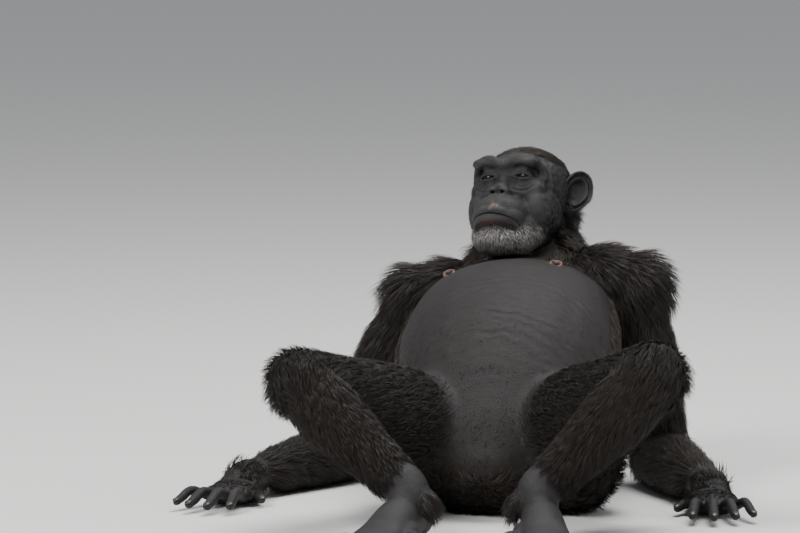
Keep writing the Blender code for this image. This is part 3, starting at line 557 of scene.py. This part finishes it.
def makeFoot(limbs):
    bm = bmesh.new()
    sign, height = limbs["sign"], limbs["ankle"].z
    turn = pose["footTurn"][sign]
    place = settleUnder(limbs["ankle"], turn)
    shin = Matrix.Rotation(math.radians(-turn), 3, "Z") @ (limbs["knee"] - limbs["ankle"]).normalized()
    joint = Vector((0, 0, height))
    addChain(bm, [(joint + shin * 0.035, 0.028, 0.032), (joint, 0.030, 0.034),
                  (Vector((0, -0.004, 0.035)), 0.029, 0.038)])
    addBall(bm, (0, 0.028, 0.024), (0.026, 0.032, 0.025))
    addChain(bm, [(Vector((0, 0.015, 0.036)), 0.028, 0.034), (Vector((0, -0.040, 0.034)), 0.031, 0.031),
                  (Vector((0, -0.085, 0.022)), 0.036, 0.021), (Vector((0, -0.118, 0.017)), 0.038, 0.016)])
    addBall(bm, (0.0, -0.118, 0.016), (0.038, 0.028, 0.017))
    for across, length, width, spread in foot["toes"]:
        addDigit(bm, Vector((across, -foot["ball"], 0.013)), length, width, spread, 0.007, sign, place)
    addBall(bm, (-0.026 * sign, -0.062, 0.019), (0.020, 0.032, 0.018))
    root, length, width, spread = foot["bigToe"]
    addDigit(bm, root, length, width, spread, 0.003, sign, place)
    obj = fuse(bm, "foot", foot["voxel"], 4)
    obj.data.transform(place)
    return obj


def flattenAtFloor(obj):
    co = pointsOf(obj)
    co[:, 2] = np.maximum(co[:, 2], 0.0)
    setPoints(obj, co)


def makeSkin():
    skin = makeBody()
    skull = makeHead()
    bare = []
    for side in (1, -1):
        lobe = makeEar(side)
        bare.append(("ear", BVHTree.FromObject(lobe, bpy.context.evaluated_depsgraph_get())))
        cutBy(skull, lobe, "UNION")
    ends = [makeHand(left), makeHand(right), makeFoot(left), makeFoot(right)]
    graph = bpy.context.evaluated_depsgraph_get()
    for name, end in zip(("hand", "hand", "foot", "foot"), ends):
        bare.append((name, BVHTree.FromObject(end, graph)))
    bare.append(("skull", BVHTree.FromObject(skull, graph)))
    for piece in (skull, *ends):
        cutBy(skin, piece, "UNION")
    flattenAtFloor(skin)
    sculptFace(skin)
    shadeSmooth(skin)
    return skin, bare


skin, bareParts = makeSkin()
print("skin:", len(skin.data.polygons), "faces")


def near(points, tree, reach):
    found = np.full(len(points), reach)
    for i, point in enumerate(points):
        hit = tree.find_nearest(point, reach)
        if hit[0] is not None:
            found[i] = hit[3]
    return found


# Every point of the skin gets its part of the body, how its hair lies and how long it is.
coat = {
    "length": {"trunk": 0.040, "arm": 0.058, "forearm": 0.046, "thigh": 0.038, "shin": 0.034, "skull": 0.030,
               "hand": 0.014, "foot": 0.012, "ear": 0.004},
    "gravity": 0.25,
    "width": 0.0014,
    "lift": 24.0,
    "sunk": 0.06,  # share of the length that is under the skin
    "turn": 0.22,  # spread of its heading, in radians
    "curl": 0.10,
    "bend": 0.42,
    "droop": 0.10,
    "perClump": 9,
    "clumpReach": 0.4,
    "taper": 0.55,
    "thickness": 0.7,
    "lowest": 0.0006,
    "patch": 0.003,
    "whiteShare": 0.72,
    "reach": 0.0012,  # how near to a bare part's own surface a point counts as that part
    "skullReach": 0.004,
    "neckFrom": 0.80,
    "neckLength": 0.060,
}


def partOf(points):
    owner = np.zeros(len(points), int)
    best = np.full(len(points), 1e9)
    lie = np.zeros((len(points), 3))
    for i, (_, place, _, way) in enumerate(fleshBalls):
        back = np.array(place.inverted())
        size = min(place.to_scale().x, place.to_scale().z)
        local = points @ back[:3, :3].T + back[:3, 3]
        gap = (np.linalg.norm(local, axis=1) - 1.0) * size
        closer = gap < best
        best[closer] = gap[closer]
        owner[closer] = i
        pull = np.exp(-np.clip(gap, -0.02, 0.3) / 0.012)
        lie += pull[:, None] * np.array(way)
    regions = np.array([b[0] for b in fleshBalls])[owner]
    share = np.array([b[2] for b in fleshBalls])[owner]
    return regions, share, lie / np.linalg.norm(lie, axis=1)[:, None]


def neckOf(regions, share):
    return (regions == "trunk") & (share > coat["neckFrom"])


def describeSkin():
    co, no = pointsOf(skin), normalsOf(skin)
    regions, share, lie = partOf(co)
    regions = regions.astype("<U14")
    for name, tree in bareParts:
        reach = coat["skullReach"] if name == "skull" else coat["reach"]
        regions[near(co, tree, reach) < reach] = name
    skull = np.isin(regions, ("skull", "ear"))
    lie[skull] = np.array(headFrame.to_3x3().normalized() @ Vector((0, 0.75, -0.66)))
    for name, limb in (("hand", "wrist"), ("foot", "ankle")):
        for limbs in (left, right):
            turn = math.radians(pose[name + "Turn"][limbs["sign"]])
            close = np.linalg.norm(co - np.array(limbs[limb]), axis=1) < 0.30
            way = np.array((math.sin(turn), -math.cos(turn), -0.15))
            lie[(regions == name) & close] = way
    h = toHead(co)
    nape = neckOf(regions, share) | (skull & (h[:, 2] < 5) & (h[:, 1] > 0))
    lie[nape, 0] += 1.5 * np.sign(h[nape, 0])
    lie = lie + np.array((0, 0, -coat["gravity"]))
    whole = np.linalg.norm(lie, axis=1)
    lie -= no * np.sum(lie * no, axis=1)[:, None]
    flat = rise(np.linalg.norm(lie, axis=1) / whole, 0.15, 0.65)
    lie /= np.maximum(np.linalg.norm(lie, axis=1), 1e-6)[:, None]
    length = np.zeros(len(co))
    for name, value in coat["length"].items():
        length[np.char.startswith(regions, name)] = value
    length *= 0.45 + 0.55 * flat  # shorter at a whorl, where the hair would stand up
    return co, no, regions, share, lie, length


def hairCover(co, no, regions, share):
    # How much hair grows: none on the face, the front of the trunk, palms, soles and digits.
    cover = np.ones(len(co))
    h = toHead(co)
    skull = regions == "skull"
    across = np.abs(h[:, 0])
    crown = rise(h[:, 2] - 0.30 * np.maximum(0, -h[:, 1] - 12), 50, 64) * rise(h[:, 1], -62, -44)
    back = rise(h[:, 1] - 0.3 * h[:, 2], 4, 22)
    cover[skull] = np.maximum(crown, back)[skull]
    cover[regions == "ear"] = 0.0
    belly = np.array((0, -pose["trunkAxis"].z, pose["trunkAxis"].y))
    front = rise(no @ belly, -0.05, 0.55) * (regions == "trunk")
    side = rise(np.abs(co[:, 0] + 0.01) - 0.25 * (0.25 - np.clip(co[:, 1], 0, 0.25)), 0.12, 0.155)
    cover = np.where(regions == "trunk", 1 - front * (1 - 0.6 * side), cover)
    neck = (regions == "trunk") * rise(share, 0.76, 0.86)
    cover = cover * (1 - neck) + neck * (1 - 0.7 * rise(-no[:, 1], 0.80, 0.96))
    behind = rise(co[:, 1], 0.272, 0.305) * (regions == "trunk")
    cover = np.maximum(cover, behind * rise(np.abs(co[:, 0] + 0.012), 0.02, 0.05))
    lobe = rise(across, 63, 69) * (h[:, 2] > -20) * (h[:, 1] > -12) * skull
    cover = cover * (1 - lobe)
    ends = np.isin(regions, ("hand", "foot"))
    cover[ends] = (rise(no[:, 2], 0.1, 0.6) * 0.8)[ends]
    for limbs in (left, right):
        for name, joint, reach in (("hand", "wrist", 0.085), ("foot", "ankle", 0.105)):
            gap = np.linalg.norm(co[:, :2] - np.array(limbs[joint])[:2], axis=1)
            mine = (regions == name) & (gap < 0.3)
            cover[mine] *= (1 - rise(gap, reach - 0.02, reach + 0.02))[mine]
    return cover


co, no, regions, share, lie, length = describeSkin()
skinTree = BVHTree.FromObject(skin, bpy.context.evaluated_depsgraph_get())
nippleGuides = (Vector((0.058, 0.226, 0.352)), Vector((-0.108, 0.212, 0.342)))
nipplePlaces = [skinTree.find_nearest(guide)[0] for guide in nippleGuides]
cover = hairCover(co, no, regions, share)
for place in nipplePlaces:
    cover *= rise(np.linalg.norm(co - np.array(place), axis=1), 0.014, 0.030)


# The beard's hair and its white: down and forward from nothing to full, then its corners and their strength.
beard = {
    "hair": {"down": (52, 76), "forward": (20, 44), "corner": (46, 66), "sides": 0.7},
    "pale": {"down": (58, 74), "forward": (28, 52), "corner": (44, 66), "sides": 0.8},
}


def beardAt(h, place):
    chin = rise(-h[:, 2], *place["down"]) * rise(-h[:, 1], *place["forward"])
    corner = rise(-h[:, 2], *place["corner"]) * rise(-h[:, 1], 30, 56) * rise(np.abs(h[:, 0]), 30, 44)
    return np.maximum(chin, place["sides"] * corner)


def headFields():
    # Hair is short on the crown and long behind and under the ears; cheeks and chin get their own.
    h = toHead(co)
    skull = regions == "skull"
    low = rise(-h[:, 2], -30, 45) * rise(h[:, 1], 0, 30)
    length[skull] = (0.019 + 0.048 * low)[skull]
    length[neckOf(regions, share)] = coat["neckLength"]
    across = np.abs(h[:, 0])
    cheek = rise(h[:, 1] + 0.15 * (h[:, 2] + 30), -74, -44) * rise(across, 30, 46)
    cheek = cheek * rise(62 - h[:, 2], 0, 14)
    return cheek * skull * (1 - cover), beardAt(h, beard["hair"]) * skull


cheekHair, chinHair = headFields()
headPoints = toHead(co)
underHead = (regions == "skull") & (headPoints[:, 2] < 0) & (headPoints[:, 1] > 0)
napeHair = cover * (neckOf(regions, share) | underHead)
print("regions found")


# Marks of colour and painted light, the same on skin and coat, kept as numbers on every point.
def marksAt(points, names):
    h = toHead(points)
    skull = np.isin(names, ("skull", "ear"))
    pale = np.where(skull, beardAt(h, beard["pale"]), 0)
    lip = np.exp(-((h[:, 2] + 58 + h[:, 0] ** 2 / 110) / 5.0) ** 2 - (h[:, 0] / 24.0) ** 2)
    lip = lip * rise(-h[:, 1], 80, 100)
    scar = np.zeros(len(points))
    for x, z, wide, tall in ((5, -32, 1.3, 4.0), (3, -38, 1.4, 1.8), (9, -31, 2.6, 1.2), (12, -34, 1.6, 1.5)):
        scar += np.exp(-((h[:, 0] - x) / wide) ** 2 - ((h[:, 2] - z) / tall) ** 2) * rise(-h[:, 1], 85, 98)
    warm = np.where(skull, np.clip(lip * 0.3 + 0.85 * scar, 0, 1), 0)
    for place in nipplePlaces:
        gap = np.linalg.norm(points - np.array(place), axis=1)
        warm = np.maximum(warm, 0.35 * (1 - rise(gap, 0.008, 0.016)))
    # On the head this number rises toward the top of the crown: a brownish tint that is partly the crown's
    # own colour and partly painted sheen where the top catches light.
    brownSheenAndShade = np.where(skull, rise(h[:, 2], 50, 80), 0.25)
    # On the trunk the same number darkens the skin as painted shade over the up-facing chest and belly, and
    # browns the trunk's hair.
    trunkOnly = (names == "trunk") * 1.0
    fold = rise(0.15 - points[:, 1], 0, 0.05) * rise(points[:, 1], -0.05, 0.02) * trunkOnly
    return {"pale": pale, "warm": warm, "brownSheenAndShade": np.maximum(brownSheenAndShade, 0.85 * trunkOnly), "fold": fold}


def keep(mesh, name, values):
    field = mesh.attributes.new(name, "FLOAT", "POINT")
    field.data.foreach_set("value", np.asarray(values, np.float32))


skinMarks = marksAt(co, regions)
skinMarks["hair"] = cover * (length > 0.008)
for name, values in skinMarks.items():
    keep(skin.data, name, values)


def chartOf(points, names):
    # An unwrap by parts: round each part one way and along it the other.
    order = ["trunk", "armLeft", "armRight", "forearmLeft", "forearmRight", "thighLeft", "thighRight",
             "shinLeft", "shinRight", "skull", "ear", "hand", "foot"]
    axis = {"trunk": (Vector((0, 0.2, 0.2)), pose["trunkAxis"])}
    for limbs in (left, right):
        for name, start, end in (("arm", "shoulder", "elbow"), ("forearm", "elbow", "wrist"),
                                 ("thigh", "hip", "knee"), ("shin", "knee", "ankle")):
            axis[name + limbs["name"]] = (limbs[start], limbs[end] - limbs[start])
    axis["skull"] = axis["ear"] = (pose["headCentre"], Vector((0, 0, 1)))
    axis["hand"] = axis["foot"] = (Vector((0, -0.3, 0.05)), Vector((1, 0, 0)))
    uv = np.zeros((len(points), 2))
    for i, name in enumerate(order):
        mine = names == name
        start, along = (Vector(v) for v in axis[name])
        along = along.normalized()
        side = along.cross(Vector((0.3, 0.2, 1.0))).normalized()
        third = side.cross(along)
        gap = points[mine] - np.array(start)
        angle = np.arctan2(gap @ np.array(third), gap @ np.array(side)) / (2 * math.pi) + 0.5
        far = gap @ np.array(along) / 0.75 + 0.5
        uv[mine, 0] = (i % 4 + 0.03 + 0.94 * angle) / 4
        uv[mine, 1] = (i // 4 + 0.03 + 0.94 * np.clip(far, 0, 1)) / 4
    return uv


def rootsOn(mask, count, rng):
    mesh = skin.data
    mesh.calc_loop_triangles()
    tris = np.empty(len(mesh.loop_triangles) * 3, np.int32)
    mesh.loop_triangles.foreach_get("vertices", tris)
    tris = tris.reshape(-1, 3)
    a, b, c = (co[tris[:, k]] for k in range(3))
    weight = np.linalg.norm(np.cross(b - a, c - a), axis=1) * mask[tris].mean(axis=1)
    total = np.cumsum(weight)
    picked = np.searchsorted(total, rng.random(count) * total[-1])
    u, v = rng.random(count), rng.random(count)
    flip = u + v > 1
    u[flip], v[flip] = 1 - u[flip], 1 - v[flip]
    shareOf = np.stack([1 - u - v, u, v], 1)
    corners = tris[picked]
    nearest = corners[np.arange(count), shareOf.argmax(1)]
    return corners, shareOf, nearest


def mixAt(values, corners, shareOf):
    return np.einsum("ij,ij...->i...", shareOf, values[corners]) if values.ndim == 1 else np.einsum(
        "ij,ijk->ik", shareOf, values[corners])


def unit(v):
    return v / np.maximum(np.linalg.norm(v, axis=1), 1e-9)[:, None]


tuftRings = {"long": (0.0, 0.36, 0.72), "middle": (0.0, 0.5), "short": (0.0,)}


def growCoat(name, mask, count, kind, seed, scale=1.0, width=1.0, lift=1.0, clumping=0.5, fixed=None):
    rng = np.random.default_rng(seed)
    corners, shareOf, nearest = rootsOn(mask, count, rng)
    root = mixAt(co, corners, shareOf)
    normal = unit(mixAt(no, corners, shareOf))
    way = mixAt(lie, corners, shareOf)
    way = unit(way - normal * np.sum(way * normal, axis=1)[:, None])
    side = np.cross(way, normal)
    turn = rng.normal(0, coat["turn"], count)
    way = way * np.cos(turn)[:, None] + side * np.sin(turn)[:, None]
    side = np.cross(way, normal)
    long = mixAt(length, corners, shareOf) * scale * (0.45 + 0.55 * mixAt(cover, corners, shareOf))
    if fixed:
        long = np.full(count, fixed)
    long = long * rng.uniform(0.65, 1.2, count)
    leaving = np.radians(coat["lift"] * lift * rng.uniform(0.6, 1.4, count))
    curl = rng.normal(0, coat["curl"], count)

    def along(t):
        # The hair leaves the skin at an angle and bends down to lie along it.
        out = np.sin(leaving) * (t - coat["bend"] * t * t)
        ahead = np.cos(leaving) * t
        place = root - normal * (coat["sunk"] * long)[:, None]
        place = place + way * (ahead * long)[:, None] + normal * (out * long)[:, None]
        place = place + side * (curl * long * t * t)[:, None]
        place[:, 2] -= coat["droop"] * long * t * t
        return place

    tip = along(1.0)
    groups = np.arange(count) % coat["perClump"] == 0
    tree = KDTree(int(groups.sum()))
    for i, place in enumerate(root[groups]):
        tree.insert(place, i)
    tree.balance()
    leader = np.array([tree.find(p)[1] for p in root])
    pull = (tip[groups][leader] - tip) * clumping
    pull *= np.minimum(1, coat["clumpReach"] * long / np.maximum(np.linalg.norm(pull, axis=1), 1e-9))[:, None]
    wide = coat["width"] * width * rng.uniform(0.7, 1.3, count)
    shares = tuftRings[kind]
    rings = []
    for t in shares:
        middle = along(t) + pull * t * t
        half = wide * (1 - coat["taper"] * t) / 2
        rings += [middle - side * half[:, None], middle + normal * (half * coat["thickness"])[:, None],
                  middle + side * half[:, None]]
    points = np.stack(rings + [along(1.0) + pull], 1)
    points[..., 2] = np.maximum(points[..., 2], coat["lowest"])
    size = points.shape[1]
    faces = [(0, 2, 1)]
    for r in range(len(shares) - 1):
        for k in range(3):
            a, b = 3 * r + k, 3 * r + (k + 1) % 3
            faces += [(a, b, b + 3), (a, b + 3, a + 3)]
    last = 3 * (len(shares) - 1)
    faces += [(last, last + 1, size - 1), (last + 1, last + 2, size - 1), (last + 2, last, size - 1)]
    faces = np.array(faces)
    mesh = bpy.data.meshes.new(name)
    allFaces = (faces[None] + (np.arange(count) * size)[:, None, None]).reshape(-1, 3)
    mesh.vertices.add(count * size)
    mesh.vertices.foreach_set("co", points.astype(np.float32).ravel())
    mesh.loops.add(allFaces.size)
    mesh.loops.foreach_set("vertex_index", allFaces.astype(np.int32).ravel())
    mesh.polygons.add(len(allFaces))
    mesh.polygons.foreach_set("loop_start", np.arange(0, allFaces.size, 3, dtype=np.int32))
    mesh.polygons.foreach_set("use_smooth", np.ones(len(allFaces), bool))
    mesh.update(calc_edges=True)
    chart = chartOf(root, regions[nearest])
    spots = [(k / 2 - 0.5, t) for t in shares for k in range(3)] + [(0.0, 1.0)]
    patch = chart[:, None, :] + np.array(spots)[None] * coat["patch"]
    uv = mesh.uv_layers.new(name="OFBake")
    uv.data.foreach_set("uv", patch.reshape(-1, 2)[allFaces.ravel()].astype(np.float32).ravel())
    marks = marksAt(root, regions[nearest])
    marks["pale"] = marks["pale"] * (rng.random(count) < coat["whiteShare"])
    for key, values in marks.items():
        keep(mesh, key, np.repeat(values, size))
    keep(mesh, "shade", np.repeat(rng.random(count), size))
    keep(mesh, "tipward", np.tile([t for t in shares for _ in range(3)] + [1.0], count))
    obj = bpy.data.objects.new(name, mesh)
    bpy.context.scene.collection.objects.link(obj)
    print(name, len(allFaces), "triangles")
    return obj


def partMask(*names):
    return cover * np.isin(regions, names)


coatPieces = [
    growCoat("coatArmLeft", partMask("armLeft"), 10000, "long", 1),
    growCoat("coatArmRight", partMask("armRight"), 10000, "long", 2),
    growCoat("coatForearmLeft", partMask("forearmLeft"), 6800, "long", 3),
    growCoat("coatForearmRight", partMask("forearmRight"), 6800, "long", 4),
    growCoat("coatBack", partMask("trunk") * (cover > 0.45), 15000, "middle", 5),
    growCoat("coatThighLeft", partMask("thighLeft"), 10000, "middle", 6),
    growCoat("coatThighRight", partMask("thighRight"), 10000, "middle", 7),
    growCoat("coatShinLeft", partMask("shinLeft"), 7500, "middle", 8),
    growCoat("coatShinRight", partMask("shinRight"), 7500, "middle", 9),
    growCoat("coatHead", partMask("skull"), 13000, "middle", 10, width=0.7),
    growCoat("coatNape", napeHair, 5000, "long", 15, lift=2.1, scale=1.1),
    growCoat("coatCheeks", cheekHair, 16000, "short", 12, width=0.4, lift=0.45, clumping=0.2, fixed=0.009),
    growCoat("coatChin", chinHair, 9500, "middle", 13, width=0.45, lift=1.0, clumping=0.25, fixed=0.011),
    growCoat("coatFront", (1 - cover) * (regions == "trunk"), 14000, "short", 14, width=0.4, lift=0.5,
             fixed=0.013),
    growCoat("coatHands", partMask("hand", "foot"), 9000, "short", 11, width=0.8),
]


# Materials.
def startMaterial(name):
    made = bpy.data.materials.new(name)
    made.use_nodes = True
    tree = made.node_tree
    shader = tree.nodes["Principled BSDF"]
    return made, tree, shader


def addNode(tree, kind, **values):
    node = tree.nodes.new("ShaderNode" + kind)
    for key, value in values.items():
        if hasattr(node, key):
            setattr(node, key, value)
        else:
            node.inputs[key].default_value = value
    return node


def numberFrom(tree, name):
    return addNode(tree, "Attribute", attribute_name=name).outputs["Fac"]


def blendColours(tree, factor, first, second):
    mix = addNode(tree, "Mix", data_type="RGBA")
    tree.links.new(factor, mix.inputs[0])
    for socket, value in ((mix.inputs[6], first), (mix.inputs[7], second)):
        if isinstance(value, tuple):
            socket.default_value = (*value, 1)
        else:
            tree.links.new(value, socket)
    return mix.outputs[2]


def mottleGroup():
    # Broad tone and fine grain over the surface, for skin, nails and hair.
    group = bpy.data.node_groups.new("mottle and grain", "ShaderNodeTree")
    for name, start in (("Broad Scale", 20.0), ("Grain Scale", 300.0)):
        group.interface.new_socket(name, in_out="INPUT", socket_type="NodeSocketFloat").default_value = start
    for name in ("Tone", "Grain"):
        group.interface.new_socket(name, in_out="OUTPUT", socket_type="NodeSocketFloat")
    inside, outside = group.nodes.new("NodeGroupInput"), group.nodes.new("NodeGroupOutput")
    place = addNode(group, "TexCoord").outputs["Object"]
    broad = addNode(group, "TexNoise", Detail=6.0, Roughness=0.62)
    grain = addNode(group, "TexNoise", Detail=5.0, Roughness=0.65)
    cells = addNode(group, "TexVoronoi", feature="DISTANCE_TO_EDGE")
    lines = addNode(group, "MapRange")
    lines.inputs["From Max"].default_value = 0.16
    both = addNode(group, "Math", operation="MULTIPLY_ADD")
    both.inputs[1].default_value = 0.5
    for texture, scale in ((broad, "Broad Scale"), (grain, "Grain Scale"), (cells, "Grain Scale")):
        group.links.new(place, texture.inputs["Vector"])
        group.links.new(inside.outputs[scale], texture.inputs["Scale"])
    group.links.new(cells.outputs["Distance"], lines.inputs["Value"])
    group.links.new(lines.outputs["Result"], both.inputs[0])
    group.links.new(grain.outputs["Fac"], both.inputs[2])
    group.links.new(broad.outputs["Fac"], outside.inputs["Tone"])
    group.links.new(both.outputs["Value"], outside.inputs["Grain"])
    return group


mottle = mottleGroup()


def mottled(tree, broadScale, grainScale):
    node = tree.nodes.new("ShaderNodeGroup")
    node.node_tree = mottle
    node.inputs["Broad Scale"].default_value = broadScale
    node.inputs["Grain Scale"].default_value = grainScale
    spread = addNode(tree, "MapRange")
    spread.inputs["From Min"].default_value = 0.32
    spread.inputs["From Max"].default_value = 0.68
    tree.links.new(node.outputs["Tone"], spread.inputs["Value"])
    return spread.outputs["Result"], node.outputs["Grain"]


def skinMaterial():
    made, tree, shader = startMaterial("ape skin")
    tone, grain = mottled(tree, 24.0, 330.0)
    base = blendColours(tree, tone, (0.014, 0.0135, 0.014), (0.034, 0.032, 0.032))
    # The brown number darkens the skin: over the trunk this is painted shade, on the crown a brownish tint.
    base = blendColours(tree, numberFrom(tree, "brownSheenAndShade"), base, (0.0135, 0.0108, 0.0096))
    base = blendColours(tree, numberFrom(tree, "hair"), base, (0.010, 0.009, 0.0085))
    base = blendColours(tree, numberFrom(tree, "warm"), base, (0.21, 0.105, 0.085))
    base = blendColours(tree, numberFrom(tree, "pale"), base, (0.040, 0.038, 0.038))
    tree.links.new(base, shader.inputs["Base Color"])
    shader.inputs["Roughness"].default_value = 0.56
    shader.inputs["Specular IOR Level"].default_value = 0.32
    bump = addNode(tree, "Bump", Strength=0.7, Distance=0.0010)
    tree.links.new(grain, bump.inputs["Height"])
    # Fine level folds across the belly.
    folds = addNode(tree, "TexWave", bands_direction="Y", Scale=21.0, Distortion=7.0, Detail=3.0)
    folds.inputs["Detail Scale"].default_value = 1.2
    tree.links.new(addNode(tree, "TexCoord").outputs["Object"], folds.inputs["Vector"])
    masked = addNode(tree, "Math", operation="MULTIPLY")
    tree.links.new(folds.outputs["Fac"], masked.inputs[0])
    tree.links.new(numberFrom(tree, "fold"), masked.inputs[1])
    creases = addNode(tree, "Bump", Strength=0.4, Distance=0.0026)
    tree.links.new(masked.outputs["Value"], creases.inputs["Height"])
    tree.links.new(bump.outputs["Normal"], creases.inputs["Normal"])
    tree.links.new(creases.outputs["Normal"], shader.inputs["Normal"])
    return made


def hairMaterial():
    made, tree, shader = startMaterial("ape hair")
    tone = mottled(tree, 16.0, 200.0)[0]
    base = blendColours(tree, numberFrom(tree, "shade"), (0.009, 0.008, 0.008), (0.026, 0.022, 0.020))
    base = blendColours(tree, tone, base, (0.020, 0.0165, 0.0145))
    # The brown number turns the hair lighter and browner: on the crown this is partly painted sheen, on the
    # trunk a brown tint.
    base = blendColours(tree, numberFrom(tree, "brownSheenAndShade"), base, (0.050, 0.036, 0.026))
    base = blendColours(tree, numberFrom(tree, "pale"), base, (0.62, 0.60, 0.57))
    tree.links.new(base, shader.inputs["Base Color"])
    shader.inputs["Roughness"].default_value = 0.42
    shader.inputs["Specular IOR Level"].default_value = 0.35
    return made


def eyeMaterial():
    made, tree, shader = startMaterial("ape eye")
    ramp = addNode(tree, "ValToRGB")
    stops = ramp.color_ramp.elements
    stops[0].position, stops[0].color = 0.16, (0.002, 0.002, 0.002, 1)
    stops[1].position, stops[1].color = 0.20, (0.012, 0.006, 0.003, 1)
    for at, colour in ((0.42, (0.022, 0.011, 0.006, 1)), (0.50, (0.008, 0.005, 0.004, 1)),
                       (0.58, (0.026, 0.018, 0.014, 1))):
        stops.new(at).color = colour
    tree.links.new(numberFrom(tree, "gaze"), ramp.inputs["Fac"])
    tree.links.new(ramp.outputs["Color"], shader.inputs["Base Color"])
    shader.inputs["Roughness"].default_value = 0.12
    shader.inputs["Specular IOR Level"].default_value = 0.35
    return made


def nailMaterial():
    made, tree, shader = startMaterial("ape nail")
    tone = mottled(tree, 160.0, 900.0)[0]
    base = blendColours(tree, tone, (0.018, 0.013, 0.010), (0.050, 0.038, 0.030))
    tree.links.new(base, shader.inputs["Base Color"])
    shader.inputs["Roughness"].default_value = 0.34
    return made


apeSkin, apeHair, apeEye = skinMaterial(), hairMaterial(), eyeMaterial()
skin.data.materials.clear()
skin.data.materials.append(apeSkin)
for piece in coatPieces:
    piece.data.materials.append(apeHair)


def makeEye(side):
    bm = bmesh.new()
    at = headFrame @ Vector((head["eye"].x * side, head["eye"].y, head["eye"].z))
    bmesh.ops.create_icosphere(bm, subdivisions=4, radius=head["eyeRadius"])
    bmesh.ops.transform(bm, matrix=Matrix.Translation(at), verts=bm.verts)
    obj = newObject(bm, "eyeball" + ("Left" if side > 0 else "Right"))
    gaze = np.array(headFrame.to_3x3().normalized() @ Vector((0.05, -0.98, -0.02)))
    out = unit(pointsOf(obj) - np.array(at))
    keep(obj.data, "gaze", np.arccos(np.clip(out @ gaze, -1, 1)) / 1.1)
    shadeSmooth(obj)
    obj.data.materials.append(apeEye)
    return obj


eyes = [makeEye(1), makeEye(-1)]


def makeNails():
    # One curved plate near the tip of each digit, pressed into the skin at its root.
    bm = bmesh.new()
    for tip, ahead, half in nailPlaces:
        flat = Vector((ahead.x, ahead.y, -0.30)).normalized()
        across = flat.cross(Vector((0, 0, 1))).normalized()
        turn = Matrix((across, flat, across.cross(flat))).transposed()
        at = tip + Vector((0, 0, half * 0.58)) + flat * (half * 0.25)
        addBall(bm, at, (half * 0.62, half * 0.80, half * 0.26), turn)
    made = newObject(bm, "nails")
    shadeSmooth(made)
    made.data.materials.append(nailMaterial())
    return made


nails = makeNails()


nipple = {
    "profile": ((0.0105, -0.004), (0.0098, 0.0008), (0.0086, 0.0034), (0.0072, 0.0036), (0.0060, 0.0020),
                (0.0048, 0.0022), (0.0040, 0.0052), (0.0024, 0.0066), (0.0, 0.0068)),
    "stretch": (1.15, 0.95, 1.0, 1.0),
    "tipped": Vector((0, -0.55, 0.05)),
}


def makeNipple(name, place):
    # A low cone with a raised rim, tipped forward from the skin.
    bm = spunProfile([(r, 0, z) for r, z in smoothRows(nipple["profile"], 3)], (0, 0, 1), 28, 1e-5)
    bmesh.ops.holes_fill(bm, edges=bm.edges, sides=40)
    far = {v: math.hypot(v.co.x, v.co.y) for v in bm.verts}
    warm = [0.95 * math.exp(-(((far[v] - 0.0082) / 0.0022) ** 2)) + 0.5 * math.exp(-((far[v] / 0.003) ** 2))
            for v in bm.verts]
    spot, normal = skinTree.find_nearest(place)[:2]
    facing = (normal + nipple["tipped"]).normalized()
    turn = facing.to_track_quat("Z", "Y").to_matrix().to_4x4()
    stretch = Matrix.Diagonal(nipple["stretch"])
    bmesh.ops.transform(bm, matrix=Matrix.Translation(spot) @ turn @ stretch, verts=bm.verts)
    made = newObject(bm, name)
    shadeSmooth(made)
    keep(made.data, "warm", warm)
    made.data.materials.append(apeSkin)
    return made


nipples = [makeNipple(name, place) for name, place in zip(("nippleLeft", "nippleRight"), nipplePlaces)]

# The stage, the lights and the camera.
bm = bmesh.new()
bmesh.ops.create_circle(bm, cap_ends=True, segments=96, radius=60)
floor = newObject(bm, "floor")
made, _, shader = startMaterial("pale floor")
shader.inputs["Base Color"].default_value = (0.72, 0.71, 0.69, 1)
shader.inputs["Roughness"].default_value = 0.9
floor.data.materials.append(made)
floor.location.z = -0.0005

world = bpy.data.worlds.new("studio")
bpy.context.scene.world = world
world.use_nodes = True
world.node_tree.nodes["Background"].inputs["Color"].default_value = (0.92, 0.95, 1.0, 1)
world.node_tree.nodes["Background"].inputs["Strength"].default_value = 0.42

lights = {
    "key": {"at": (-2.4, -3.2, 3.6), "size": 1.8, "power": 230},
    "top": {"at": (0.6, 0.8, 4.2), "size": 2.6, "power": 210},
    "fill": {"at": (3.6, -2.6, 1.8), "size": 3.0, "power": 45},
}
for name, light in lights.items():
    lamp = bpy.data.lights.new(name, "AREA")
    lamp.energy, lamp.size = light["power"], light["size"]
    holder = bpy.data.objects.new(name, lamp)
    holder.location = light["at"]
    holder.rotation_euler = (Vector((0, 0.1, 0.2)) - Vector(light["at"])).to_track_quat("-Z", "Y").to_euler()
    bpy.context.scene.collection.objects.link(holder)

view = {
    "azimuth": 10.0,
    "elevation": 6.0,
    "distance": 9.0,
    "lens": 267.3,
    "target": Vector((-0.1485, 0.0131, 0.3684)),
}
azimuth, elevation = math.radians(view["azimuth"]), math.radians(view["elevation"])
level = math.cos(elevation)
ahead = Vector((-math.sin(azimuth) * level, math.cos(azimuth) * level, -math.sin(elevation)))
across = Vector((math.cos(azimuth), math.sin(azimuth), 0))
camera = bpy.data.objects.new("camera", bpy.data.cameras.new("camera"))
camera.data.sensor_width = 36.0
camera.data.lens = view["lens"]
camera.data.clip_end = 200.0
turn = Matrix((across, across.cross(ahead), -ahead)).transposed().to_4x4()
camera.matrix_world = Matrix.Translation(view["target"] - ahead * view["distance"]) @ turn
bpy.context.scene.collection.objects.link(camera)
bpy.context.scene.camera = camera

for piece in (skin, nails, *nipples, *coatPieces, *eyes):
    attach(piece, "root")
flesh = [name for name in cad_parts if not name.startswith("eye")]
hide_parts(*flesh)
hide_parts("eye_left")
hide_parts("eye_right")

print("scene ready")
